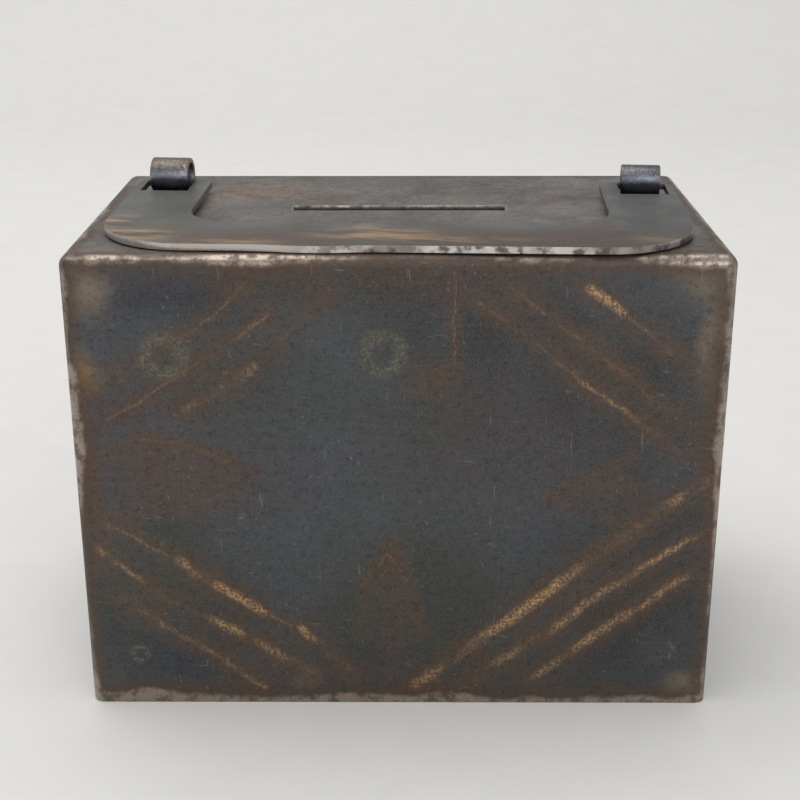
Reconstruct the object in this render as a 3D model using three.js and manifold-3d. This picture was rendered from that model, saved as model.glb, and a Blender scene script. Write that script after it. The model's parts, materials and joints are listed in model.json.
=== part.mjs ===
// A sheet-steel money box with a folding carry handle, a coin slot with an inside guard, and a
// trap door in its base that is held by a small warded lock.
// Millimetres. +Z up, X across the width, the front face looks along -Y.
// The origin is the middle of the box on the surface it stands on.
import * as THREE from 'three';
import { mergeVertices } from 'three/addons/utils/BufferGeometryUtils.js';
import Module from 'manifold-3d';

const wasm = await Module();
wasm.setup();

// ---------------------------------------------------------------- driving dimensions

// box
const BOX_W = 114;
const BOX_D = 68.4;
const BOX_H = 85.5;
const SHEET = 1.2;
const EDGE_R = 2;
const CORNER_R = 2.6;
const WELD_GAP = 0.05;

// coin slot, from the front face to its middle
const SLOT_L = 40;
const SLOT_W = 4.2;
const SLOT_FROM_FRONT = 36.4;

// handle loops: rolled strip with two tails clinched under the top plate
const LEFT_LOOP_OD = 6.8;
const RIGHT_LOOP_OD = 6;
const LOOP_T = 1;
const LOOP_W = 7.5;
const LOOP_FROM_SIDE = 11;
const LOOP_FROM_FRONT = 48.85;
const LOOP_SEAM = 0.1;
const CLINCH_L = 3.5;
const LOOP_TURN = -6;
const SLIT_CLEAR = 0.3;

// carry handle; it and its loops were set slightly askew by hand
const HANDLE_T = 1.2;
const HANDLE_FROM_SIDE = 5;
const HANDLE_FROM_FRONT = 1.5;
const HANDLE_SHIFT = 1;
const HANDLE_SKEW = -2.2;
const HANDLE_CORNER_R = 16;
const LEG_W = 14;
const LEG_CORNER_R = 3.4;
const INNER_CORNER_R = 9.5;
const BAR_W = 17.7;
const SCALLOP_PITCH = 19.5;
const SCALLOP_DEPTH = 3.6;
const EYE_BAR_W = 1.1;
const EYE_BAR_UNDER = 1.35;
const EYE_SIDE_GAP = 0.85;
const EYE_FRONT = 9.4;
const REST_GAP = 0.2;

// coin guard under the slot
const GUARD_T = 1;
const GUARD_DROP = 11;
const GUARD_FLANGE = 12;
const GUARD_SIDE_GAP = 3;
const GUARD_TO_SLOT = 4;
const GUARD_EAR_T = 1;
const GUARD_EAR_W = 5;
const FLAP_T = 0.8;
const FLAP_OVERLAP = 3;
const FLAP_TOP_GAP = 0.6;
const FLAP_SIDE_GAP = 2;
const FLAP_PIN_D = 1.8;
const FLAP_BORE_GAP = 0.2;
const FLAP_SPRING_WIRE = 0.6;
const FLAP_SPRING_TURNS = 2.5;
const FLAP_SPRING_PITCH = 0.69;
const FLAP_SHELF_GAP = 0.9;
const FLAP_ROLL_DEG = 290;
const FLAP_PIN_PROUD = 1;

// base frame and trap door
const FRAME_T = 1;
const FRAME_LIP = 5;
const FRAME_H = 13;
const DOOR_RECESS = 1;
const DOOR_T = 1.2;
const DOOR_GAP = 0.4;
const LEAF_T = 0.6;
const LEAF_GAP = 0.2;
const HINGE_PIN_D = 1.3;
const HINGE_BORE_GAP = 0.05;
const HINGE_L = 76;
const KNUCKLES = 5;
const KNUCKLE_GAP = 0.3;
const DOOR_LEAF_W = 9;
const FRAME_LEAF_H = 9;
const RIVET_D = 1.8;
const RIVET_HEAD_D = 3.4;
const RIVET_HEAD_T = 0.7;
const RIVET_BORE_GAP = 0.1;
const RIVET_SHOULDER_R = 0.86;
const RIVET_SHOULDER_H = 0.6;
const RIVET_TOP_R = 0.5;
const FRAME_RIVET_UP = 5.4;
const HINGE_PIN_PROUD = 0.4;
const HINGE_RIVET_PITCH = 30.4;

// lock on the trap door
const LOCK_L = 34;
const LOCK_W = 22;
const LOCK_H = 8.6;
const LOCK_T = 0.8;
const LOCK_FROM_LIP = 1.9;
const LOCK_EAR = 5;
const BOLT_W = 11;
const BOLT_T = 2;
const BOLT_THROW = 4.5;
const BOLT_LIP_GAP = 0.4;
const BOLT_FRONT_GAP = 0.9;
const BOLT_RUN_GAP = 0.25;
const BOLT_BACK_GAP = 1;
const GUIDE_D = 2.6;
const GUIDE_HEAD_D = 4.6;
const GUIDE_FROM_KEY = 2;
const TALON_W = 5;
const TALON_DEPTH = 2.6;
const SPRING_T = 0.5;
const SPRING_END_GAP = 2;
const KEY_POST_D = 2;
const KEY_POST_FROM_BOLT = 4.6;
const KEY_POST_FLANGE_D = 4;
const KEY_POST_FLANGE_T = 0.6;
const KEY_POST_GAP = 1;
const WARD_R = 3.2;
const WARD_T = 0.6;
const WARD_H = 2;
const KEYHOLE_R = 2.4;
const KEYHOLE_SLOT_W = 1.8;
const KEYHOLE_DROP = 6.2;
const PLATE_T = 0.6;
const PLATE_MARGIN = 3.2;
const PLATE_END_MARGIN = 4.8;
const PLATE_PIN_D = 1.2;
const PLATE_PIN_HEAD_D = 1.9;
const PLATE_PIN_HEAD_T = 0.25;

// places that follow from them
const INSIDE_X = BOX_W / 2 - SHEET;
const INSIDE_Y = BOX_D / 2 - SHEET;
const CEILING = BOX_H - SHEET;
const SLOT_Y = SLOT_FROM_FRONT - BOX_D / 2;
const LOOP_X = BOX_W / 2 - LOOP_FROM_SIDE;
const LOOP_Y = LOOP_FROM_FRONT - BOX_D / 2;
const SKEW = THREE.MathUtils.degToRad(HANDLE_SKEW);
const EYE_Z = BOX_H + EYE_BAR_UNDER + HANDLE_T / 2;

// ---------------------------------------------------------------- shape tools

const EX = new THREE.Vector3(1, 0, 0);
const EY = new THREE.Vector3(0, 1, 0);
const EZ = new THREE.Vector3(0, 0, 1);
const PLANES = { x: [EY, EZ, EX], y: [EZ, EX, EY], z: [EX, EY, EZ] };

// A closed three.js geometry as a manifold solid.
function solid(geometry) {
  geometry.deleteAttribute('normal');
  geometry.deleteAttribute('uv');
  const merged = mergeVertices(geometry, 1e-4);
  return new wasm.Manifold(new wasm.Mesh({
    numProp: 3,
    vertProperties: new Float32Array(merged.attributes.position.array),
    triVerts: new Uint32Array(merged.index.array),
  }));
}

// An outline pushed along an axis. It is drawn in the two axes that follow: YZ for x, ZX for y, XY for z.
function prism(shape, axis, from, to, curveSegments = 8) {
  const geometry = new THREE.ExtrudeGeometry(shape, { depth: to - from, bevelEnabled: false, curveSegments });
  geometry.translate(0, 0, from);
  geometry.applyMatrix4(new THREE.Matrix4().makeBasis(...PLANES[axis]));
  return solid(geometry);
}

function block(x0, x1, y0, y1, z0, z1) {
  const geometry = new THREE.BoxGeometry(x1 - x0, y1 - y0, z1 - z0);
  geometry.translate((x0 + x1) / 2, (y0 + y1) / 2, (z0 + z1) / 2);
  return solid(geometry);
}

function circle(u, v, radius) {
  const shape = new THREE.Shape();
  shape.absarc(u, v, radius, 0, Math.PI * 2);
  return shape;
}

function rod(axis, u, v, diameter, from, to, curveSegments = 9) {
  return prism(circle(u, v, diameter / 2), axis, from, to, curveSegments);
}

function roundedRect(halfU, halfV, radius) {
  const shape = new THREE.Shape();
  shape.absarc(halfU - radius, halfV - radius, radius, 0, Math.PI / 2);
  shape.absarc(radius - halfU, halfV - radius, radius, Math.PI / 2, Math.PI);
  shape.absarc(radius - halfU, radius - halfV, radius, Math.PI, Math.PI * 1.5);
  shape.absarc(halfU - radius, radius - halfV, radius, Math.PI * 1.5, Math.PI * 2);
  return shape;
}

function arc(u, v, radius, fromDeg, toDeg, steps) {
  return Array.from({ length: steps + 1 }, (_, i) => {
    const angle = THREE.MathUtils.degToRad(fromDeg + (toDeg - fromDeg) * i / steps);
    return new THREE.Vector2(u + radius * Math.cos(angle), v + radius * Math.sin(angle));
  });
}

// The outline of bent sheet: its middle line, given half the thickness to each side.
function bentSheet(middle, thickness) {
  const side = (sign) => middle.map((point, i) => {
    const before = middle[Math.max(i - 1, 0)];
    const after = middle[Math.min(i + 1, middle.length - 1)];
    const into = point.clone().sub(before).normalize();
    const out = after.clone().sub(point).normalize();
    const along = into.clone().add(out).normalize();
    const reach = thickness / 2 / Math.max(along.dot(out.length() ? out : into), 0.5);
    return new THREE.Vector2(point.x - sign * along.y * reach, point.y + sign * along.x * reach);
  });
  return new THREE.Shape([...side(-1), ...side(1).reverse()]);
}

function part(name, manifold, material) {
  const mesh = manifold.getMesh();
  const geometry = new THREE.BufferGeometry();
  geometry.setAttribute('position', new THREE.BufferAttribute(mesh.vertProperties, 3));
  geometry.setIndex(new THREE.BufferAttribute(mesh.triVerts, 1));
  const flat = geometry.toNonIndexed();
  flat.computeVertexNormals();
  const node = new THREE.Mesh(flat, new THREE.MeshStandardMaterial(material));
  node.name = name;
  return node;
}

const OXIDISED = { color: 0x3a3a3c, roughness: 0.5, metalness: 0.8 };
const WORN_STEEL = { color: 0x73756f, roughness: 0.45, metalness: 0.85 };
const TINTED_STEEL = { color: 0x6e7390, roughness: 0.35, metalness: 0.9 };
const INSIDE_STEEL = { color: 0x5b5750, roughness: 0.6, metalness: 0.75 };
const BRIGHT_STEEL = { color: 0x9a9a96, roughness: 0.35, metalness: 0.9 };
const BRASS = { color: 0xa8874a, roughness: 0.4, metalness: 0.9 };

// ---------------------------------------------------------------- box

// A block with rounded corners and top edges, flat at its foot.
function roundedBlock(halfX, halfY, top, cornerR, edgeR, foot) {
  const geometry = new THREE.ExtrudeGeometry(roundedRect(halfX, halfY, cornerR), {
    depth: top - foot,
    curveSegments: 5,
    bevelThickness: edgeR,
    bevelSize: edgeR,
    bevelOffset: -edgeR,
    bevelSegments: 5,
  });
  geometry.translate(0, 0, foot - edgeR);
  const rounded = solid(geometry);
  const below = foot - edgeR * 2 - 1;
  return rounded.subtract(block(-halfX - 1, halfX + 1, -halfY - 1, halfY + 1, below, foot));
}

// The middle of a loop, on the handle's hinge line.
function loopPlace(sign) {
  return [HANDLE_SHIFT + sign * LOOP_X * Math.cos(SKEW), LOOP_Y + sign * LOOP_X * Math.sin(SKEW), 0];
}

function loopSlit(sign) {
  const halfX = LOOP_W / 2 + SLIT_CLEAR;
  const halfY = LOOP_T + LOOP_SEAM / 2 + SLIT_CLEAR;
  const slit = block(-halfX, halfX, -halfY, halfY, CEILING - 1, BOX_H + 1);
  return slit.rotate([0, 0, LOOP_TURN]).translate(loopPlace(sign));
}

function bodyShell() {
  const outer = roundedBlock(BOX_W / 2, BOX_D / 2, BOX_H, CORNER_R, EDGE_R, 0);
  const inner = roundedBlock(INSIDE_X, INSIDE_Y, CEILING, CORNER_R - SHEET, EDGE_R - SHEET, -1);
  const slot = block(-SLOT_L / 2, SLOT_L / 2, SLOT_Y - SLOT_W / 2, SLOT_Y + SLOT_W / 2, CEILING - 1, BOX_H + 1);
  return outer.subtract(inner).subtract(slot).subtract(loopSlit(-1)).subtract(loopSlit(1));
}

// The strip runs from one clinched tail up the seam, round the eye and down to the other tail.
function handleLoop(diameter) {
  const eyeR = (diameter - LOOP_T) / 2;
  const tailX = LOOP_T / 2 + LOOP_SEAM / 2;
  const eyeZ = BOX_H + diameter / 2 + WELD_GAP;
  const seamDeg = THREE.MathUtils.radToDeg(Math.asin(tailX / eyeR));
  const clinchZ = CEILING - WELD_GAP - LOOP_T / 2;
  const eye = arc(0, eyeZ, eyeR, -90 + seamDeg, 270 - seamDeg, 28);
  const middle = [
    new THREE.Vector2(tailX + CLINCH_L, clinchZ),
    new THREE.Vector2(tailX, clinchZ),
    ...eye,
    new THREE.Vector2(-tailX, clinchZ),
    new THREE.Vector2(-tailX - CLINCH_L, clinchZ),
  ];
  return prism(bentSheet(middle, LOOP_T), 'x', -LOOP_W / 2, LOOP_W / 2);
}

// ---------------------------------------------------------------- carry handle

// Drawn with the hinge axis at y = 0 and the front edge at -Y.
const HANDLE_HALF = BOX_W / 2 - HANDLE_FROM_SIDE;
const HANDLE_REACH = LOOP_FROM_FRONT - HANDLE_FROM_FRONT;

function scallopY(x) {
  return BAR_W - HANDLE_REACH - SCALLOP_DEPTH * (1 - Math.cos(2 * Math.PI * (x - 1) / SCALLOP_PITCH)) / 2;
}

function handleOutline() {
  const back = EYE_BAR_W / 2;
  const front = -HANDLE_REACH;
  const inner = HANDLE_HALF - LEG_W;
  const cornerR = Math.min(HANDLE_CORNER_R, HANDLE_HALF / 2);
  const points = [
    ...arc(-HANDLE_HALF + cornerR, front + cornerR, cornerR, 180, 270, 9),
    ...arc(HANDLE_HALF - cornerR, front + cornerR, cornerR, 270, 360, 9),
    ...arc(HANDLE_HALF - LEG_CORNER_R, back - LEG_CORNER_R, LEG_CORNER_R, 0, 90, 5),
    ...arc(inner + LEG_CORNER_R / 2, back - LEG_CORNER_R / 2, LEG_CORNER_R / 2, 90, 180, 4),
  ];
  const turn = inner - INNER_CORNER_R;
  const steps = Math.round(turn * 2 / 2.2);
  const turnY = scallopY(turn) + INNER_CORNER_R;
  const leftTurnY = scallopY(-turn) + INNER_CORNER_R;
  points.push(...arc(turn, turnY, INNER_CORNER_R, 0, -84, 6));
  for (let i = 1; i < steps; i += 1) {
    const x = turn - 2 * turn * i / steps;
    points.push(new THREE.Vector2(x, scallopY(x)));
  }
  points.push(
    ...arc(-turn, leftTurnY, INNER_CORNER_R, 264, 180, 6),
    ...arc(-inner - LEG_CORNER_R / 2, back - LEG_CORNER_R / 2, LEG_CORNER_R / 2, 0, 90, 4),
    ...arc(-HANDLE_HALF + LEG_CORNER_R, back - LEG_CORNER_R, LEG_CORNER_R, 90, 180, 5),
  );
  return new THREE.Shape(points);
}

// The eye window leaves a narrow bar at the end of the leg, and the bar runs through the loop.
function eyeWindow(sign) {
  const halfX = LOOP_W / 2 + EYE_SIDE_GAP;
  const x = sign * LOOP_X;
  return block(x - halfX, x + halfX, -EYE_FRONT, -EYE_BAR_W / 2, -HANDLE_T, HANDLE_T);
}

function carryHandle() {
  const plate = prism(handleOutline(), 'z', -HANDLE_T / 2, HANDLE_T / 2, 1);
  return plate.subtract(eyeWindow(-1)).subtract(eyeWindow(1));
}

// The bar in the loops holds the back of the handle up, so it leans forward onto the top plate.
function handleLean() {
  return Math.asin((EYE_BAR_UNDER - REST_GAP) / HANDLE_REACH);
}

// ---------------------------------------------------------------- coin guard

const SHELF_Z = CEILING - GUARD_DROP;
const SHELF_END_Y = SLOT_Y - SLOT_W / 2 - GUARD_TO_SLOT;
const FLAP_HALF = SLOT_L / 2 + FLAP_SIDE_GAP;
const EAR_X = FLAP_HALF + FLAP_SPRING_WIRE * (FLAP_SPRING_TURNS + 2);
const FLAP_AXIS_Y = SHELF_END_Y + FLAP_PIN_D;
const FLAP_KNUCKLE_R = FLAP_PIN_D / 2 + FLAP_BORE_GAP + FLAP_T;
const FLAP_AXIS_Z = SHELF_Z + FLAP_KNUCKLE_R + FLAP_SHELF_GAP;

function coinGuard() {
  const wallY = -INSIDE_Y + WELD_GAP + GUARD_T / 2;
  const middle = [
    new THREE.Vector2(wallY, SHELF_Z - GUARD_FLANGE),
    new THREE.Vector2(wallY, SHELF_Z - GUARD_T / 2),
    new THREE.Vector2(SHELF_END_Y, SHELF_Z - GUARD_T / 2),
  ];
  const halfX = INSIDE_X - GUARD_SIDE_GAP;
  let guard = prism(bentSheet(middle, GUARD_T), 'x', -halfX, halfX);
  for (const sign of [-1, 1]) {
    const x0 = Math.min(sign * EAR_X, sign * (EAR_X + GUARD_EAR_T));
    const ear = new THREE.Shape([
      new THREE.Vector2(SHELF_END_Y - GUARD_EAR_W, SHELF_Z - GUARD_T / 2),
      new THREE.Vector2(SHELF_END_Y, SHELF_Z - GUARD_T / 2),
      ...arc(FLAP_AXIS_Y, FLAP_AXIS_Z, FLAP_PIN_D, -60, 120, 8),
    ]);
    guard = guard.add(prism(ear, 'x', x0, x0 + GUARD_EAR_T));
  }
  const bore = FLAP_PIN_D + FLAP_BORE_GAP;
  return guard.subtract(rod('x', FLAP_AXIS_Y, FLAP_AXIS_Z, bore, -EAR_X - 3, EAR_X + 3));
}

// The flap's sheet is rolled round the pin, leaves the roll at a tangent and ends behind the slot.
function coinFlap() {
  const tip = new THREE.Vector2(SLOT_Y + SLOT_W / 2 + FLAP_OVERLAP, CEILING - FLAP_TOP_GAP - FLAP_T);
  const middleR = FLAP_KNUCKLE_R - FLAP_T / 2;
  const reach = tip.clone().sub(new THREE.Vector2(FLAP_AXIS_Y, FLAP_AXIS_Z));
  const slope = reach.angle() - Math.asin(middleR / reach.length());
  const topDeg = THREE.MathUtils.radToDeg(slope) + 90;
  const middle = [...arc(FLAP_AXIS_Y, FLAP_AXIS_Z, middleR, topDeg + FLAP_ROLL_DEG, topDeg, 16), tip];
  return prism(bentSheet(middle, FLAP_T), 'x', -FLAP_HALF, FLAP_HALF);
}

function flapPin() {
  const half = EAR_X + GUARD_EAR_T + FLAP_PIN_PROUD;
  return rod('x', FLAP_AXIS_Y, FLAP_AXIS_Z, FLAP_PIN_D, -half, half);
}

class Helix extends THREE.Curve {
  constructor(radius, pitch, turns, startDeg) {
    super();
    Object.assign(this, { radius, pitch, turns, start: THREE.MathUtils.degToRad(startDeg) });
  }

  getPoint(t, target = new THREE.Vector3()) {
    const angle = this.start + t * this.turns * Math.PI * 2;
    return target.set(t * this.turns * this.pitch, this.radius * Math.cos(angle), this.radius * Math.sin(angle));
  }
}

// A coil round the pin between the flap and the right ear; its tail lies on the shelf.
function flapSpring() {
  const radius = FLAP_PIN_D / 2 + FLAP_BORE_GAP + FLAP_SPRING_WIRE / 2;
  const helix = new Helix(radius, FLAP_SPRING_PITCH, FLAP_SPRING_TURNS, 0);
  const coil = solid(new THREE.ExtrudeGeometry(circle(0, 0, FLAP_SPRING_WIRE / 2), {
    steps: 44, curveSegments: 4, extrudePath: helix,
  }));
  const startX = FLAP_HALF + FLAP_SPRING_WIRE;
  const endX = startX + FLAP_SPRING_PITCH * FLAP_SPRING_TURNS;
  const tailY = FLAP_AXIS_Y - radius;
  const tail = rod('z', endX, tailY, FLAP_SPRING_WIRE, SHELF_Z + WELD_GAP, FLAP_AXIS_Z, 4);
  return coil.translate([startX, FLAP_AXIS_Y, FLAP_AXIS_Z]).add(tail);
}

// ---------------------------------------------------------------- base frame and trap door

const DOOR_TOP = DOOR_RECESS + DOOR_T;
const FRAME_FOOT = DOOR_TOP + LEAF_T + LEAF_GAP;
const FRAME_X = INSIDE_X - WELD_GAP;
const FRAME_Y = INSIDE_Y - WELD_GAP;
const LIP_X = FRAME_X - FRAME_T - FRAME_LIP;
const LIP_Y = FRAME_Y - FRAME_T - FRAME_LIP;
const BARREL_R = HINGE_PIN_D / 2 + HINGE_BORE_GAP + LEAF_T;
const HINGE_Y = FRAME_Y - FRAME_T - WELD_GAP - BARREL_R;
const HINGE_Z = DOOR_TOP + LEAF_T - BARREL_R;
const DOOR_BACK_Y = HINGE_Y - BARREL_R - KNUCKLE_GAP;

function hingeRivetXs() {
  return [-1, 0, 1].map((i) => i * HINGE_RIVET_PITCH);
}

const DOOR_RIVET_Y = DOOR_BACK_Y - DOOR_LEAF_W / 2;
const FRAME_RIVET_Z = FRAME_FOOT + FRAME_RIVET_UP;
const RIVET_BORE = RIVET_D + RIVET_BORE_GAP;

function baseFrame() {
  const ring = (halfX, halfY, radius, z0, z1) => prism(roundedRect(halfX, halfY, radius), 'z', z0, z1, 4);
  const top = FRAME_FOOT + FRAME_H;
  const cornerR = CORNER_R - SHEET;
  const wallX = FRAME_X - FRAME_T;
  const wallY = FRAME_Y - FRAME_T;
  let frame = ring(FRAME_X, FRAME_Y, cornerR, FRAME_FOOT, top)
    .subtract(ring(wallX, wallY, cornerR / 2, FRAME_FOOT + FRAME_T, top + 1))
    .subtract(ring(LIP_X, LIP_Y, cornerR, FRAME_FOOT - 1, top));
  const hingeHalf = HINGE_L / 2 + KNUCKLE_GAP;
  frame = frame.subtract(block(-hingeHalf, hingeHalf, LIP_Y - 1, wallY, FRAME_FOOT - 1, FRAME_FOOT + FRAME_T + 1));
  for (const x of hingeRivetXs()) {
    frame = frame.subtract(rod('y', FRAME_RIVET_Z, x, RIVET_BORE, wallY - 1, FRAME_Y + 1));
  }
  return frame;
}

// Knuckles alternate: the frame's leaf has the even ones and the door's leaf the odd ones.
function knuckleSpan(i) {
  const pitch = HINGE_L / KNUCKLES;
  return [-HINGE_L / 2 + pitch * i + KNUCKLE_GAP / 2, -HINGE_L / 2 + pitch * (i + 1) - KNUCKLE_GAP / 2];
}

function leafWithKnuckles(plate, first, gaps) {
  let leaf = plate;
  for (let i = 0; i < KNUCKLES; i += 1) {
    const [x0, x1] = knuckleSpan(i);
    if (i % 2 === first) {
      leaf = leaf.add(rod('x', HINGE_Y, HINGE_Z, BARREL_R * 2, x0, x1, 8));
    } else {
      leaf = leaf.subtract(gaps(x0 - KNUCKLE_GAP, x1 + KNUCKLE_GAP));
    }
  }
  return leaf.subtract(rod('x', HINGE_Y, HINGE_Z, HINGE_PIN_D + HINGE_BORE_GAP * 2, -HINGE_L, HINGE_L, 8));
}

function frameHingeLeaf() {
  const y1 = HINGE_Y + BARREL_R;
  const top = FRAME_FOOT + FRAME_LEAF_H;
  const [x0] = knuckleSpan(0);
  const plate = block(x0, -x0, y1 - LEAF_T, y1, HINGE_Z, top);
  const gaps = (a, b) => block(a, b, HINGE_Y - BARREL_R, y1 + 1, HINGE_Z - 1, HINGE_Z + BARREL_R + KNUCKLE_GAP);
  let leaf = leafWithKnuckles(plate, 0, gaps);
  for (const x of hingeRivetXs()) {
    leaf = leaf.subtract(rod('y', FRAME_RIVET_Z, x, RIVET_BORE, y1 - 2, y1 + 1));
  }
  return leaf;
}

function doorHingeLeaf() {
  const z0 = HINGE_Z + BARREL_R - LEAF_T;
  const [x0] = knuckleSpan(0);
  const plate = block(x0, -x0, DOOR_BACK_Y - DOOR_LEAF_W, HINGE_Y, z0, z0 + LEAF_T);
  const gaps = (a, b) => block(a, b, DOOR_BACK_Y, HINGE_Y + BARREL_R, z0 - BARREL_R * 2, z0 + 1);
  let leaf = leafWithKnuckles(plate, 1, gaps);
  for (const x of hingeRivetXs()) {
    leaf = leaf.subtract(rod('z', x, DOOR_RIVET_Y, RIVET_BORE, z0 - 1, z0 + 1));
  }
  return leaf;
}

function hingePin() {
  const half = HINGE_L / 2 + HINGE_PIN_PROUD;
  return rod('x', HINGE_Y, HINGE_Z, HINGE_PIN_D, -half, half, 8);
}

// A rivet along +Z whose shank ends flush at z = 0 and whose head sits on z = grip.
function rivet(grip, diameter = RIVET_D, headD = RIVET_HEAD_D, headT = RIVET_HEAD_T) {
  const seat = grip + WELD_GAP;
  const profile = [
    [0, 0], [diameter / 2, 0], [diameter / 2, seat], [headD / 2, seat],
    [headD / 2 * RIVET_SHOULDER_R, seat + headT * RIVET_SHOULDER_H],
    [headD / 2 * RIVET_TOP_R, seat + headT], [0, seat + headT],
  ].map(([r, z]) => new THREE.Vector2(r, z));
  const lathe = new THREE.LatheGeometry(profile, 14);
  lathe.rotateX(Math.PI / 2);
  return solid(lathe);
}

// ---------------------------------------------------------------- lock

const LOCK_FRONT_Y = -LIP_Y + LOCK_FROM_LIP;
const LOCK_BACK_Y = LOCK_FRONT_Y + LOCK_W;
const LOCK_TOP = DOOR_TOP + LOCK_H;
const BOLT_Z = FRAME_FOOT + FRAME_T + BOLT_LIP_GAP;
const BOLT_FRONT_Y = -LIP_Y + BOLT_FRONT_GAP;
const BOLT_BACK_Y = LOCK_BACK_Y - LOCK_T - BOLT_BACK_GAP;
const BOLT_X = -BOLT_W / 2;
const KEY_X = BOLT_X + BOLT_W / 2 + KEY_POST_FROM_BOLT;
const KEY_Y = (LOCK_FRONT_Y + LOCK_BACK_Y) / 2;
const GUIDE_Y = KEY_Y + GUIDE_FROM_KEY;

function lockRivetPlaces() {
  const x = LOCK_L / 2 + LOCK_EAR / 2;
  const y = LOCK_W / 2 - LOCK_EAR / 2;
  return [[-x, KEY_Y - y], [x, KEY_Y - y], [-x, KEY_Y + y], [x, KEY_Y + y]];
}

function keyhole(z0, z1) {
  const slot = block(KEY_X - KEYHOLE_SLOT_W / 2, KEY_X + KEYHOLE_SLOT_W / 2, KEY_Y, KEY_Y + KEYHOLE_DROP, z0, z1);
  return rod('z', KEY_X, KEY_Y, KEYHOLE_R * 2, z0, z1).add(slot);
}

function platePinPlaces() {
  const y = KEY_Y + KEYHOLE_DROP / 2;
  const reach = (KEYHOLE_DROP + KEYHOLE_R + PLATE_END_MARGIN) / 2;
  return [[KEY_X, y - reach], [KEY_X, y + reach]];
}

function bottomDoor() {
  const halfX = INSIDE_X - DOOR_GAP;
  const frontY = -INSIDE_Y + DOOR_GAP;
  let door = prism(roundedRect(halfX, (DOOR_BACK_Y - frontY) / 2, CORNER_R - SHEET), 'z', DOOR_RECESS, DOOR_TOP, 4);
  door = door.translate([0, (DOOR_BACK_Y + frontY) / 2, 0]);
  door = door.subtract(keyhole(DOOR_RECESS - 1, DOOR_TOP + 1));
  const bores = [
    ...hingeRivetXs().map((x) => [x, DOOR_RIVET_Y, RIVET_BORE]),
    ...lockRivetPlaces().map(([x, y]) => [x, y, RIVET_BORE]),
    ...platePinPlaces().map(([x, y]) => [x, y, PLATE_PIN_D + RIVET_BORE_GAP]),
    [BOLT_X, GUIDE_Y, GUIDE_D + RIVET_BORE_GAP],
  ];
  for (const [x, y, diameter] of bores) {
    door = door.subtract(rod('z', x, y, diameter, DOOR_RECESS - 1, DOOR_TOP + 1));
  }
  return door;
}

function lockCase() {
  const halfX = LOCK_L / 2;
  const foot = DOOR_TOP + WELD_GAP;
  const cap = block(-halfX, halfX, LOCK_FRONT_Y, LOCK_BACK_Y, foot, LOCK_TOP);
  const room = block(-halfX + LOCK_T, halfX - LOCK_T, LOCK_FRONT_Y + LOCK_T, LOCK_BACK_Y - LOCK_T,
    foot - 1, LOCK_TOP - LOCK_T);
  let lock = cap.subtract(room);
  const boltHalf = BOLT_W / 2 + BOLT_RUN_GAP;
  lock = lock.subtract(block(BOLT_X - boltHalf, BOLT_X + boltHalf, LOCK_FRONT_Y - 1, LOCK_FRONT_Y + LOCK_T + 1,
    BOLT_Z - BOLT_RUN_GAP, BOLT_Z + BOLT_T + BOLT_RUN_GAP));
  for (const [x, y] of lockRivetPlaces()) {
    const inner = Math.sign(x) * (halfX - LOCK_T);
    const outer = Math.sign(x) * (halfX + LOCK_EAR);
    const ear = block(Math.min(inner, outer), Math.max(inner, outer), y - LOCK_EAR / 2, y + LOCK_EAR / 2,
      foot, foot + LOCK_T);
    lock = lock.add(ear).subtract(rod('z', x, y, RIVET_BORE, foot - 1, foot + LOCK_T + 1));
  }
  return lock;
}

// The bolt has a slot for its guide post and a notch on its right side for the key.
function lockBolt() {
  const x1 = BOLT_X + BOLT_W / 2;
  const slotHalf = GUIDE_D / 2 + BOLT_RUN_GAP;
  const talonY = KEY_Y - TALON_W / 2;
  return block(BOLT_X - BOLT_W / 2, x1, BOLT_FRONT_Y, BOLT_BACK_Y, BOLT_Z, BOLT_Z + BOLT_T)
    .subtract(block(BOLT_X - slotHalf, BOLT_X + slotHalf, GUIDE_Y - slotHalf, GUIDE_Y + BOLT_THROW + slotHalf,
      BOLT_Z - 1, BOLT_Z + BOLT_T + 1))
    .subtract(block(x1 - TALON_DEPTH, x1 + 1, talonY, talonY + TALON_W, BOLT_Z - 1, BOLT_Z + BOLT_T + 1));
}

// A shouldered stud: its foot is riveted through the door and its head keeps the bolt down.
function boltGuide() {
  const headZ = BOLT_Z + BOLT_T + BOLT_RUN_GAP;
  return rod('z', BOLT_X, GUIDE_Y, GUIDE_D, DOOR_RECESS, headZ + LOCK_T)
    .add(rod('z', BOLT_X, GUIDE_Y, GUIDE_HEAD_D, headZ, headZ + LOCK_T));
}

// A bowed strip between the left side of the bolt and the case wall.
function boltSpring() {
  const boltSide = BOLT_X - BOLT_W / 2;
  const wall = -LOCK_L / 2 + LOCK_T;
  const y0 = LOCK_FRONT_Y + LOCK_T + SPRING_END_GAP;
  const y1 = LOCK_BACK_Y - LOCK_T - SPRING_END_GAP;
  const rise = boltSide - wall - SPRING_T - BOLT_RUN_GAP * 2;
  const middle = Array.from({ length: 13 }, (_, i) => {
    const t = i / 12;
    const x = wall + BOLT_RUN_GAP + SPRING_T / 2 + rise * Math.sin(Math.PI * t);
    return new THREE.Vector2(x, y0 + (y1 - y0) * t);
  });
  return prism(bentSheet(middle, SPRING_T), 'z', BOLT_Z, BOLT_Z + BOLT_T);
}

// The post hangs from the case so that the key's hollow end can turn on it.
function keyPost() {
  const top = LOCK_TOP - LOCK_T - WELD_GAP;
  return rod('z', KEY_X, KEY_Y, KEY_POST_D, DOOR_TOP + KEY_POST_GAP, top)
    .add(rod('z', KEY_X, KEY_Y, KEY_POST_FLANGE_D, top - KEY_POST_FLANGE_T, top));
}

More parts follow.
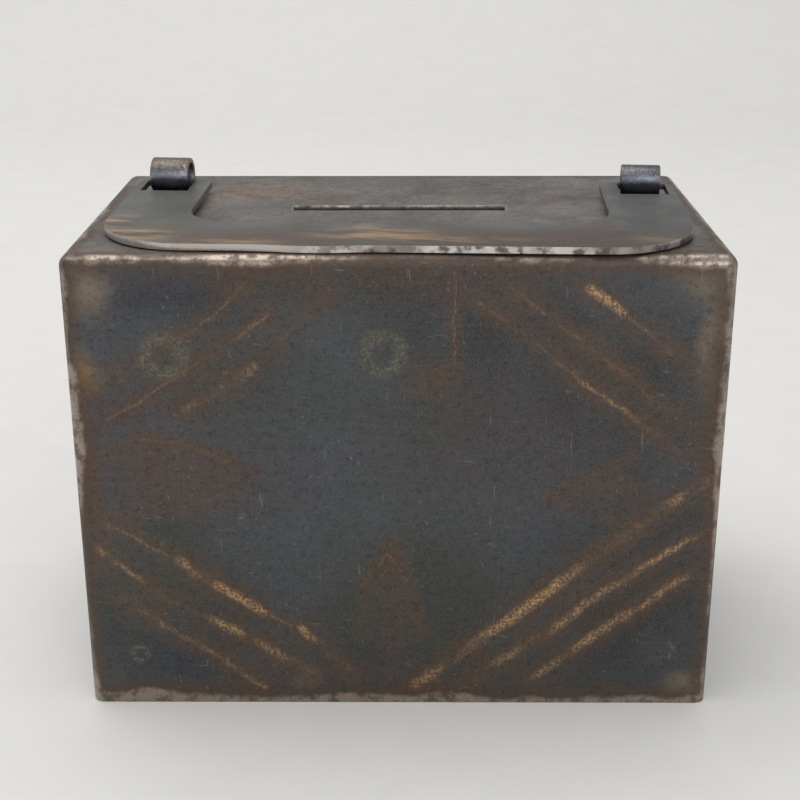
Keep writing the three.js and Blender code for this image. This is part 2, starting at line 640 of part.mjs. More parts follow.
function keyWard() {
  const ring = new THREE.Shape([
    ...arc(KEY_X, KEY_Y, WARD_R + WARD_T, 130, 410, 18),
    ...arc(KEY_X, KEY_Y, WARD_R, 410, 130, 18),
  ]);
  const z0 = DOOR_TOP + WELD_GAP;
  return prism(ring, 'z', z0, z0 + WARD_H);
}

function keyholePlate() {
  const y = KEY_Y + KEYHOLE_DROP / 2;
  const halfV = (KEYHOLE_DROP + KEYHOLE_R) / 2 + PLATE_END_MARGIN;
  const halfU = KEYHOLE_R + PLATE_MARGIN;
  const top = DOOR_RECESS - WELD_GAP;
  let plate = prism(roundedRect(halfU, halfV, halfU - WELD_GAP), 'z', top - PLATE_T, top)
    .translate([KEY_X, y, 0])
    .subtract(keyhole(top - PLATE_T - 1, top + 1));
  for (const [x, pinY] of platePinPlaces()) {
    plate = plate.subtract(rod('z', x, pinY, PLATE_PIN_D + RIVET_BORE_GAP, top - 2, top + 1));
  }
  return plate;
}

// ---------------------------------------------------------------- assembly

const box = new THREE.Group();

function place(node, x, y, z) {
  node.position.set(x, y, z);
  box.add(node);
  return node;
}

box.add(part('body_shell', bodyShell(), OXIDISED));
const turned = THREE.MathUtils.degToRad(LOOP_TURN);
const leftLoop = part('handle_loop_left', handleLoop(LEFT_LOOP_OD), TINTED_STEEL);
const rightLoop = part('handle_loop_right', handleLoop(RIGHT_LOOP_OD), TINTED_STEEL);
place(leftLoop, ...loopPlace(-1)).rotation.z = turned;
place(rightLoop, ...loopPlace(1)).rotation.z = turned;
const handle = place(part('carry_handle', carryHandle(), WORN_STEEL), HANDLE_SHIFT, LOOP_Y, EYE_Z);
handle.rotation.set(handleLean(), 0, SKEW, 'ZYX');

box.add(part('coin_guard', coinGuard(), INSIDE_STEEL));
box.add(part('coin_flap', coinFlap(), INSIDE_STEEL));
box.add(part('flap_pin', flapPin(), BRIGHT_STEEL));
box.add(part('flap_spring', flapSpring(), BRIGHT_STEEL));

box.add(part('base_frame', baseFrame(), INSIDE_STEEL));
box.add(part('bottom_door', bottomDoor(), OXIDISED));
box.add(part('frame_hinge_leaf', frameHingeLeaf(), INSIDE_STEEL));
box.add(part('door_hinge_leaf', doorHingeLeaf(), INSIDE_STEEL));
box.add(part('hinge_pin', hingePin(), BRIGHT_STEEL));

hingeRivetXs().forEach((x, i) => {
  place(part(`door_leaf_rivet_${i + 1}`, rivet(DOOR_T + LEAF_T), BRIGHT_STEEL), x, DOOR_RIVET_Y, DOOR_RECESS);
  const inward = place(part(`frame_leaf_rivet_${i + 1}`, rivet(FRAME_T + WELD_GAP + LEAF_T), BRIGHT_STEEL),
    x, FRAME_Y, FRAME_RIVET_Z);
  inward.rotation.x = Math.PI / 2;
});

box.add(part('lock_case', lockCase(), WORN_STEEL));
lockRivetPlaces().forEach(([x, y], i) => {
  const grip = DOOR_T + WELD_GAP + LOCK_T;
  place(part(`lock_rivet_${i + 1}`, rivet(grip), BRIGHT_STEEL), x, y, DOOR_RECESS);
});
box.add(part('lock_bolt', lockBolt(), BRIGHT_STEEL));
box.add(part('bolt_guide', boltGuide(), BRIGHT_STEEL));
box.add(part('bolt_spring', boltSpring(), BRIGHT_STEEL));
box.add(part('key_post', keyPost(), BRIGHT_STEEL));
box.add(part('key_ward', keyWard(), BRIGHT_STEEL));
box.add(part('keyhole_plate', keyholePlate(), BRASS));
platePinPlaces().forEach(([x, y], i) => {
  const pin = rivet(PLATE_T + WELD_GAP + DOOR_T, PLATE_PIN_D, PLATE_PIN_HEAD_D, PLATE_PIN_HEAD_T);
  place(part(`plate_pin_${i + 1}`, pin, BRASS), x, y, DOOR_TOP).rotation.x = Math.PI;
});

export default box;
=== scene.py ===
# %% [markdown]
# # A blackened steel money box
# The CAD frame gives every piece its size, place and motion. This notebook gives them their looks:
# softened edges, a hand that has rubbed the handle, and a blackened skin with burnished lines.
# Everything is in metres, in the frame's own axes: X across, the front looks along -Y, Z is up.

import json
import math

import bpy
from mathutils import Matrix, Vector


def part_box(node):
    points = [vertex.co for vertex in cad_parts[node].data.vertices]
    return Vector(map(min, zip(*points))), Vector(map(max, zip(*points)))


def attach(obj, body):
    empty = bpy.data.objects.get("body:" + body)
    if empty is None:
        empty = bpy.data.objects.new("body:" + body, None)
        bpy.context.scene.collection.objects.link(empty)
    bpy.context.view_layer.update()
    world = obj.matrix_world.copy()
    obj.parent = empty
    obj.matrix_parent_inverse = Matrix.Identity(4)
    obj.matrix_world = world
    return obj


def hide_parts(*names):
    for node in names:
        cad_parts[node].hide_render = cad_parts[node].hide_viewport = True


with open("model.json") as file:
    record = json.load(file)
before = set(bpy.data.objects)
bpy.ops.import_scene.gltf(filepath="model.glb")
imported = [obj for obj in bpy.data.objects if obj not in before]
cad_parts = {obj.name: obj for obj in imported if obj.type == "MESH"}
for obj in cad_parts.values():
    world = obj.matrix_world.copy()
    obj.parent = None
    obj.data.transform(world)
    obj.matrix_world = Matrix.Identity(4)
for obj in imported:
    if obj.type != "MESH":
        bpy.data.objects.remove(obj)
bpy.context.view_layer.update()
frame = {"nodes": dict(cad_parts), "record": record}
MM = 0.001

# %% [markdown]
# ## Sizes
# A few places are read from the CAD boxes once and named, so that finishes such as edge wear know
# where the box ends and where the coin slot lies.

# %% Name the places that the finishes need
SHELL_LOW, SHELL_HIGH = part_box("body_shell")
HALF_W = SHELL_HIGH.x
HALF_D = SHELL_HIGH.y
TOP = SHELL_HIGH.z
SHEET = 1.2 * MM
SLOT = next(o for o in frame["record"]["physics"]["openings"] if o["name"] == "coin_slot")["box_m"]
SLOT_MID = (Vector(SLOT[0]) + Vector(SLOT[1])) / 2
SLOT_HALF = (Vector(SLOT[1]) - Vector(SLOT[0])) / 2
print("box", round(HALF_W * 2, 4), round(HALF_D * 2, 4), round(TOP, 4))

# %% [markdown]
# ## Tools for mesh work
# Each tool leaves one object active and selected, because Blender's operators act on the selection.

# %% Selection and edit-mode helpers
def only(piece):
    """Selects one object alone, so an operator can't touch the CAD nodes."""
    if bpy.context.object and bpy.context.object.mode != "OBJECT":
        bpy.ops.object.mode_set(mode="OBJECT")
    bpy.ops.object.select_all(action="DESELECT")
    piece.select_set(True)
    bpy.context.view_layer.objects.active = piece


def pick(piece, kind, test):
    """In edit mode, selects the faces, edges or vertices that pass a test, and nothing else."""
    only(piece)
    bpy.ops.object.mode_set(mode="EDIT")
    bpy.ops.mesh.select_mode(type=kind)
    bpy.ops.mesh.select_all(action="DESELECT")
    bpy.ops.object.mode_set(mode="OBJECT")
    parts = {"FACE": piece.data.polygons, "EDGE": piece.data.edges, "VERT": piece.data.vertices}[kind]
    count = 0
    for part in parts:
        part.select = test(part)
        count += part.select
    bpy.ops.object.mode_set(mode="EDIT")
    return count


def done(piece):
    """Back to object mode."""
    bpy.ops.object.mode_set(mode="OBJECT")
    return piece


def soften(piece, width, segments=2, angle=30):
    """A small bevel on every sharp edge: stamped and filed metal never has a knife edge."""
    only(piece)
    bevel = piece.modifiers.new("soft edges", "BEVEL")
    bevel.width = width
    bevel.segments = segments
    bevel.limit_method = "ANGLE"
    bevel.angle_limit = math.radians(angle)
    bpy.ops.object.modifier_apply(modifier=bevel.name)
    bpy.ops.object.shade_smooth_by_angle(angle=math.radians(angle + 10))
    return piece


def cad_copy(node, name):
    """A merged copy of a CAD node whose flat faces are whole again, ready to be worked on."""
    source = frame["nodes"][node]
    piece = source.copy()
    piece.data = source.data.copy()
    piece.name = name
    for key in [k for k in piece.keys() if k.startswith("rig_")]:
        del piece[key]
    bpy.context.collection.objects.link(piece)
    world = piece.matrix_world.copy()
    piece.parent = None
    piece.matrix_world = world
    only(piece)
    bpy.ops.object.mode_set(mode="EDIT")
    bpy.ops.mesh.select_all(action="SELECT")
    bpy.ops.mesh.remove_doubles(threshold=1e-6)
    bpy.ops.mesh.dissolve_limited(angle_limit=math.radians(0.5))
    bpy.ops.mesh.customdata_custom_splitnormals_clear()
    return done(piece)


def finish_piece(piece, body, nodes, material):
    """The piece rides on its body, stands for its CAD nodes and gets its finish."""
    piece.data.materials.clear()
    piece.data.materials.append(material)
    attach(piece, body)
    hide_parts(*nodes)
    print(f"{piece.name}: {len(piece.data.polygons)} faces on {body}")
    return piece


print("mesh tools ready for", len(frame["nodes"]), "nodes")

# %% [markdown]
# ## Tools for finishes
# A finish is a small machine of nodes. These helpers add one node each and hand back its output,
# so that a material can be written down like a recipe.

# %% Node helpers
def node(tree, kind, inputs=None, **settings):
    """Adds one node, sets it up and plugs or sets its inputs by name or number."""
    made = tree.nodes.new(kind)
    for key, value in settings.items():
        setattr(made, key, value)
    for key, value in (inputs or {}).items():
        if isinstance(value, bpy.types.NodeSocket):
            tree.links.new(value, made.inputs[key])
        else:
            made.inputs[key].default_value = value
    return made


def calc(tree, operation, a, b=0.0, clamp=False):
    """One sum on two numbers."""
    return node(tree, "ShaderNodeMath", {0: a, 1: b}, operation=operation, use_clamp=clamp).outputs[0]


def vector_calc(tree, operation, a, b=(0, 0, 0), out=0):
    """One sum on two vectors; out=1 is its number instead of its vector."""
    return node(tree, "ShaderNodeVectorMath", {0: a, 1: b}, operation=operation).outputs[out]


def fade(tree, value, start, end, low=0.0, high=1.0):
    """Goes smoothly from low to high while value goes from start to end."""
    inputs = {"Value": value, "From Min": start, "From Max": end, "To Min": low, "To Max": high}
    return node(tree, "ShaderNodeMapRange", inputs, interpolation_type="SMOOTHSTEP").outputs[0]


def blend(tree, factor, a, b):
    """Colour a where factor is 0 and colour b where it is 1."""
    made = node(tree, "ShaderNodeMix", {0: factor}, data_type="RGBA")
    for number, value in ((6, a), (7, b)):
        if isinstance(value, bpy.types.NodeSocket):
            tree.links.new(value, made.inputs[number])
        else:
            made.inputs[number].default_value = (*value[:3], 1)
    return made.outputs[2]


def noise(tree, vector, per_m, detail=3.0, roughness=0.55,
          offset=(0, 0, 0), stretch=(1, 1, 1), turn=(0, 0, 0)):
    """Noise with that many waves per metre; a larger stretch packs them closer along a turned axis."""
    placed = node(tree, "ShaderNodeMapping", {
        "Vector": vector, "Location": [value / 10 for value in offset], "Rotation": turn,
        "Scale": [1 / value for value in stretch],
    }, vector_type="TEXTURE").outputs[0]
    return node(tree, "ShaderNodeTexNoise", {
        "Vector": placed, "Scale": per_m, "Detail": detail, "Roughness": roughness,
    }).outputs[0]


def new_group(name, inputs, outputs):
    """An empty node group with named sockets, and its two end nodes."""
    tree = bpy.data.node_groups.new(name, "ShaderNodeTree")
    for in_out, sockets in (("INPUT", inputs), ("OUTPUT", outputs)):
        for socket, (kind, value) in sockets.items():
            made = tree.interface.new_socket(name=socket, in_out=in_out, socket_type="NodeSocket" + kind)
            if value is not None:
                made.default_value = value
    return tree, tree.nodes.new("NodeGroupInput").outputs, tree.nodes.new("NodeGroupOutput").inputs


def use_group(tree, group, inputs):
    """Puts a group to work and hands back its output, or all of them if it has several."""
    made = tree.nodes.new("ShaderNodeGroup")
    made.node_tree = group
    for key, value in inputs.items():
        if isinstance(value, bpy.types.NodeSocket):
            tree.links.new(value, made.inputs[key])
        else:
            made.inputs[key].default_value = value
    return made.outputs[0] if len(made.outputs) == 1 else list(made.outputs)


def new_material(name):
    """An empty material with its shader, and the object's own coordinates."""
    material = bpy.data.materials.new(name)
    material.use_nodes = True
    tree = material.node_tree
    tree.nodes.clear()
    shader = tree.nodes.new("ShaderNodeBsdfPrincipled")
    output = tree.nodes.new("ShaderNodeOutputMaterial")
    tree.links.new(shader.outputs[0], output.inputs[0])
    place = tree.nodes.new("ShaderNodeTexCoord").outputs["Object"]
    return material, tree, shader, place


def plug(tree, shader, color=None, metallic=None, roughness=None, height=None, depth=0.0, strength=1.0):
    """Feeds the shader; height goes through one Bump node, depth is in metres."""
    for socket, value in (("Base Color", color), ("Metallic", metallic), ("Roughness", roughness)):
        if isinstance(value, bpy.types.NodeSocket):
            tree.links.new(value, shader.inputs[socket])
        elif value is not None:
            shader.inputs[socket].default_value = value
    if height is not None:
        bump = node(tree, "ShaderNodeBump", {"Height": height, "Distance": depth, "Strength": strength})
        tree.links.new(bump.outputs[0], shader.inputs["Normal"])


print("node helpers ready")

# %% [markdown]
# ## Shared effects
# An effect that is used more than once is a node group, built once. Each gives a mask or a height and
# no shader, so a finish can mix it as it likes:
# - stroke distance: how far a point is from a straight stroke, for burnished lines
# - brushed grain: the fine parallel scratches of sheet that was rolled and wiped one way
# - old skin: cloudy light and dark patches with fine pits, as oxide has
# - scuffs: sparse thin scratches
# - soft spot: a patch that fades out all round, for stains and for places that hands rub

# %% Group: distance to a stroke
def make_stroke_distance():
    tree, given, result = new_group(
        "stroke_distance",
        {"Vector": ("Vector", None), "Start": ("Vector", None), "End": ("Vector", None),
         "Weakness": ("Float", 0.0)},
        {"Distance": ("Float", None)},
    )
    along = vector_calc(tree, "SUBTRACT", given["End"], given["Start"])
    reach = vector_calc(tree, "SUBTRACT", given["Vector"], given["Start"])
    across = vector_calc(tree, "DOT_PRODUCT", reach, along, out=1)
    length = vector_calc(tree, "DOT_PRODUCT", along, along, out=1)
    share = calc(tree, "DIVIDE", across, length, clamp=True)
    scaled = node(tree, "ShaderNodeVectorMath", {0: along, "Scale": share}, operation="SCALE").outputs[0]
    gap = vector_calc(tree, "DISTANCE", reach, scaled, out=1)
    tree.links.new(calc(tree, "ADD", gap, given["Weakness"]), result["Distance"])
    return tree


STROKE_DISTANCE = make_stroke_distance()
print("made group", STROKE_DISTANCE.name)

# %% Groups: brushed grain, old skin, scuffs and soft spots
def make_brushed_grain():
    """Long scratches along X: the noise is squeezed many times across them."""
    tree, given, result = new_group(
        "brushed_grain", {"Vector": ("Vector", None)}, {"Height": ("Float", None)},
    )
    coarse = noise(tree, given["Vector"], 90, 2, 0.6, stretch=(1, 22, 22))
    fine = noise(tree, given["Vector"], 200, 3, 0.65, offset=(3, 5, 7), stretch=(1, 30, 30))
    total = calc(tree, "ADD", calc(tree, "MULTIPLY", coarse, 0.45), calc(tree, "MULTIPLY", fine, 0.55))
    tree.links.new(total, result["Height"])
    return tree


def make_old_skin():
    """Clouds a few millimetres to centimetres wide, pits, and specks a quarter of a millimetre wide."""
    tree, given, result = new_group(
        "old_skin", {"Vector": ("Vector", None)},
        {"Clouds": ("Float", None), "Pits": ("Float", None), "Specks": ("Float", None)},
    )
    clouds = noise(tree, given["Vector"], 55, 6, 0.62)
    pits = noise(tree, given["Vector"], 1500, 4, 0.6, offset=(9, 2, 4))
    specks = noise(tree, given["Vector"], 2600, 3, 0.7, offset=(2, 2, 8))
    tree.links.new(fade(tree, clouds, 0.34, 0.66), result["Clouds"])
    tree.links.new(fade(tree, pits, 0.36, 0.6), result["Pits"])
    tree.links.new(fade(tree, specks, 0.40, 0.68), result["Specks"])
    return tree


def make_scuffs():
    """Five families of short thin scratches, each at its own slant."""
    tree, given, result = new_group("scuffs", {"Vector": ("Vector", None)}, {"Mask": ("Float", None)})
    total = None
    for number, slant in enumerate((0.15, -0.6, 1.0, 1.5, 2.2)):
        lines = noise(tree, given["Vector"], 70, 1, 0.5, offset=(number * 3.1, number, 2),
                      stretch=(0.9, 24, 24), turn=(slant, slant, slant))
        lines = fade(tree, lines, 0.68, 0.76)
        patch = noise(tree, given["Vector"], 90, 2, 0.5, offset=(number, 7, number * 2))
        lines = calc(tree, "MULTIPLY", lines, fade(tree, patch, 0.50, 0.66))
        total = lines if total is None else calc(tree, "MAXIMUM", total, lines)
    tree.links.new(total, result["Mask"])
    return tree


def make_soft_spot():
    """1 in the middle of an ellipsoid and 0 outside it."""
    tree, given, result = new_group(
        "soft_spot",
        {"Vector": ("Vector", None), "Centre": ("Vector", None), "Reach": ("Vector", None)},
        {"Mask": ("Float", None)},
    )
    away = vector_calc(tree, "SUBTRACT", given["Vector"], given["Centre"])
    share = vector_calc(tree, "DIVIDE", away, given["Reach"])
    far = vector_calc(tree, "LENGTH", share, out=1)
    tree.links.new(fade(tree, far, 1.0, 0.05), result["Mask"])
    return tree


BRUSHED_GRAIN = make_brushed_grain()
OLD_SKIN = make_old_skin()
SCUFFS = make_scuffs()
SOFT_SPOT = make_soft_spot()
print("made groups", BRUSHED_GRAIN.name, OLD_SKIN.name, SCUFFS.name, SOFT_SPOT.name)

# %% [markdown]
# ## Blackened skin with burnished lines
# The walls were blackened, then lines were rubbed through the black with a hard tool: three slanting
# lines across each corner and an arrowhead in the middle of each side. Where the tool pressed hard
# the metal shows gold, and round it the black has gone brown. An image could hold such lines, but it
# would blur when seen close. Here the distance to the nearest stroke is worked out, and the brown halo
# and the gold core are two widths of that distance. Each stroke has two ends, in millimetres across
# and up, and how faint it is. One set serves all four walls.

# %% The burnished strokes
CORNER_STROKES = [
    # lower right
    ((3, 4), (24, 21), 0.0), ((24, 21), (42, 35.7), 0.0), ((42, 35.7), (56, 46), 0.0),
    ((14, 5.5), (36.6, 22.6), 0.1), ((36.6, 22.6), (53, 34.2), 0.4),
    ((25, 5.5), (41.2, 18.4), 0.1), ((41.2, 18.4), (51.5, 25.9), 0.5),
    # lower left
    ((-53, 36.5), (-39.5, 29.5), 0.9), ((-39.5, 29.5), (-24.9, 18.8), 0.15),
    ((-24.9, 18.8), (-18, 15), 0.9), ((-18, 15), (-9, 6.2), 0.2),
    ((-54, 31.5), (-41.8, 21.8), 0.5), ((-41.8, 21.8), (-34.2, 17.6), 0.8),
    ((-34.2, 17.6), (-16.5, 5.7), 0.25),
    ((-50, 22), (-37, 12.6), 0.45), ((-37, 12.6), (-24.9, 3.4), 0.6),
    # upper left
    ((-36.5, 58.4), (-24.5, 66.3), 0.25), ((-24.5, 66.3), (-11.8, 78.5), 1.2),
    ((-50.3, 56.5), (-32.6, 67.6), 1.0), ((-32.6, 67.6), (-22, 75), 0.9),
    ((-55, 61), (-36.5, 71.5), 1.1), ((-36.5, 71.5), (-26, 79.5), 1.0),
    # upper right
    ((13.5, 77.5), (31.5, 63.5), 1.0), ((31.5, 63.5), (49.8, 50.5), 0.8),
    ((20, 79), (39, 64), 0.9), ((39, 64), (50, 55.5), 1.1),
    ((32.5, 79.5), (37.5, 75), 0.15), ((37.5, 75), (49.8, 66), 0.85),
]
ARROW_STROKES = [
    ((-2.4, 31), (-6.3, 24), 0.6), ((-6.3, 24), (-7, 14), 1.3),
    ((-2.4, 31), (1.6, 25), 0.6), ((1.6, 25), (4.6, 15), 0.8),
    ((26, 41.8), (41, 49.6), 1.1), ((26, 41.8), (40, 35.7), 1.1),
    ((-25, 46.5), (-37.6, 39.3), 1.2), ((-37.6, 39.3), (-55, 37), 1.0),
    ((-30, 48.2), (-36, 51.2), 0.25), ((-36, 51.2), (-45, 52.6), 0.5), ((-45, 52.6), (-56, 46), 1.1),
    ((10, 81), (9.7, 65), 0.7), ((3, 64), (9.7, 66), 1.3),
]


def stroke_field(tree, place, strokes):
    """The distance to the nearest stroke, in metres; a faint one counts as further off."""
    nearest = None
    for start, end, weakness in strokes:
        distance = use_group(tree, STROKE_DISTANCE, {
            "Vector": place,
            "Start": (start[0] * MM, 0, start[1] * MM),
            "End": (end[0] * MM, 0, end[1] * MM),
            "Weakness": weakness * MM,
        })
        nearest = distance if nearest is None else calc(tree, "MINIMUM", nearest, distance)
    return nearest


print("strokes:", len(CORNER_STROKES) + len(ARROW_STROKES))

# %% [markdown]
# ### Marks on four walls from one drawing
# Every wall of the box carries the same pattern. It could be unwrapped and drawn four times. Instead a
# point's place on its own wall is worked out from where it is in the box, so one drawing serves all,
# and nothing slips when a wall's mesh changes.

# %% Where on the wall a point is
def wall_place(tree, place):
    """Marks on any wall: across it in X and up it in Z. Side walls stretch to full width."""
    axes = node(tree, "ShaderNodeSeparateXYZ", {0: place}).outputs
    from_side = calc(tree, "SUBTRACT", HALF_W, calc(tree, "ABSOLUTE", axes[0]))
    from_face = calc(tree, "SUBTRACT", HALF_D, calc(tree, "ABSOLUTE", axes[1]))
    from_top = calc(tree, "SUBTRACT", TOP, axes[2])
    side = calc(tree, "GREATER_THAN", from_face, from_side)
    stretched = calc(tree, "MULTIPLY", axes[1], HALF_W / HALF_D)
    across = node(tree, "ShaderNodeMix", {0: side, 2: axes[0], 3: stretched}).outputs[0]
    flat = node(tree, "ShaderNodeCombineXYZ", {0: across, 2: axes[2]}).outputs[0]
    from_wall = calc(tree, "MINIMUM", from_side, from_face)
    upward = fade(tree, calc(tree, "SUBTRACT", from_top, from_wall), 0.5 * MM, -1.0 * MM)
    upward = calc(tree, "MULTIPLY", upward, fade(tree, from_top, 1.0 * MM, 0.6 * MM))
    upright = calc(tree, "MAXIMUM", from_side, from_face)
    rim = calc(tree, "MAXIMUM", from_top, from_wall)
    return axes, flat, upward, upright, rim


def wobble(tree, place, amount, per_m):
    """A point pushed about a little, so that a ruled line becomes a hand-drawn one."""
    drift = node(tree, "ShaderNodeTexNoise", {"Vector": place, "Scale": per_m, "Detail": 2.0}).outputs[1]
    centred = vector_calc(tree, "SUBTRACT", drift, (0.5, 0.5, 0.5))
    push = vector_calc(tree, "MULTIPLY", centred, (amount, 0, amount))
    return vector_calc(tree, "ADD", place, push)


print("side walls are stretched by", round(HALF_W / HALF_D, 3))

# %% [markdown]
# ### Colours of old blackening
# Heat and oil leave steel black, with slate, olive, blue and plum in it, and brown where it is thin.
# One noise over the whole wall would spread these evenly. Zones put each colour where it belongs, and
# noise only tears their edges.

# %% Colours and zones of the blackened skin
BLACK = (0.022, 0.022, 0.025)
SLATE = (0.064, 0.068, 0.075)
OLIVE = (0.040, 0.045, 0.037)
NIGHT = (0.026, 0.030, 0.046)
DEEP = (0.018, 0.018, 0.017)
UMBER = (0.060, 0.035, 0.022)
PLUM = (0.070, 0.048, 0.048)
BROWN = (0.088, 0.051, 0.030)
GOLD = (0.62, 0.38, 0.18)
TAN = (0.22, 0.165, 0.115)
BARE = (0.33, 0.275, 0.23)
RUST = (0.26, 0.105, 0.045)
HONEY = (0.34, 0.20, 0.085)
RUBBED = (0.20, 0.12, 0.065)
WELD_DULL = (0.090, 0.082, 0.060)
WELD_PALE = (0.24, 0.215, 0.165)
# the two top greys below are a painted reflection of the sky on the top face
TOP_SHEEN_GREY = (0.225, 0.200, 0.178)
TOP_SHEEN_DARK = (0.150, 0.135, 0.122)
TOP_BROWN = (0.125, 0.09, 0.075)
PALE_SPECK = (0.17, 0.16, 0.15)
PALE_GRAIN = (0.13, 0.125, 0.12)
POLISHED = (0.40, 0.36, 0.32)
SCUFFED = (0.27, 0.24, 0.21)
# each zone: middle across and up, reach across and up, colour, strength
ZONES = [
    ((-12, 42), (34, 26), SLATE, 0.95), ((26, 36), (18, 14), SLATE, 0.4),
    ((42, 22), (28, 30), DEEP, 0.95), ((36, 60), (34, 26), DEEP, 0.85), ((16, 74), (30, 14), DEEP, 0.8),
    ((-42, 11), (18, 11), NIGHT, 0.95), ((-36, 79), (26, 9), NIGHT, 0.9), ((-12, 5), (14, 8), NIGHT, 0.7),
    ((20, 54), (34, 20), PLUM, 0.45), ((-1, 14), (6, 26), PLUM, 0.75), ((-38, 46), (30, 11), PLUM, 0.7),
    ((-2.4, 29), (5, 9), BROWN, 0.95), ((34, 43), (15, 8), BROWN, 0.7), ((-40, 45), (15, 8), BROWN, 0.75),
    ((-1, 18), (7, 14), BROWN, 0.5), ((6, 65), (9, 6), BROWN, 0.8),
    ((0, 82), (60, 8), UMBER, 0.95), ((-2, 4), (60, 3.5), PLUM, 0.7), ((-47, 58), (14, 8), PLUM, 0.7),
    ((55, 58), (6, 30), BROWN, 0.7), ((-55, 66), (7, 8), HONEY, 1.0),
    ((-55, 40), (4.5, 30), BROWN, 0.8), ((-53, 81), (8, 8), TAN, 0.95), ((50, 81), (11, 8), TAN, 0.6),
    ((55, 70), (4.5, 12), TAN, 0.8), ((53, 3), (6, 6), TAN, 0.8), ((-18, 3.5), (4, 3), TAN, 0.9),
]
WELDS = [(-40, 68, 4.4), (-2.6, 68.5, 4.2), (-47.6, 10.2, 1.9), (48.9, 11.2, 1.9)]
print("zones:", len(ZONES), "weld marks:", len(WELDS))

# %% [markdown]
# ### Spot welds
# The guard and the base frame are welded on from inside, which leaves faint pale rings outside. They
# have no height to speak of, so they are rings of colour and not of mesh.

# %% Weld marks
def weld_marks(tree, flat):
    """Broken pale rings where the inside pieces were spot welded."""
    speck = fade(tree, noise(tree, flat, 1500, 3, 0.6), 0.44, 0.58)
    total = None
    for x, z, radius in WELDS:
        gap = vector_calc(tree, "DISTANCE", flat, (x * MM, 0, z * MM), out=1)
        ring = calc(tree, "ABSOLUTE", calc(tree, "SUBTRACT", gap, radius * 0.72 * MM))
        ring = fade(tree, ring, radius * 0.50 * MM, 0.0)
        total = ring if total is None else calc(tree, "MAXIMUM", total, ring)
    patchy = fade(tree, noise(tree, flat, 260, 2, 0.5, offset=(1, 0, 4)), 0.30, 0.52)
    return calc(tree, "MULTIPLY", total, patchy), speck


print("weld marks between", min(weld[1] for weld in WELDS), "and", max(weld[1] for weld in WELDS), "mm up")
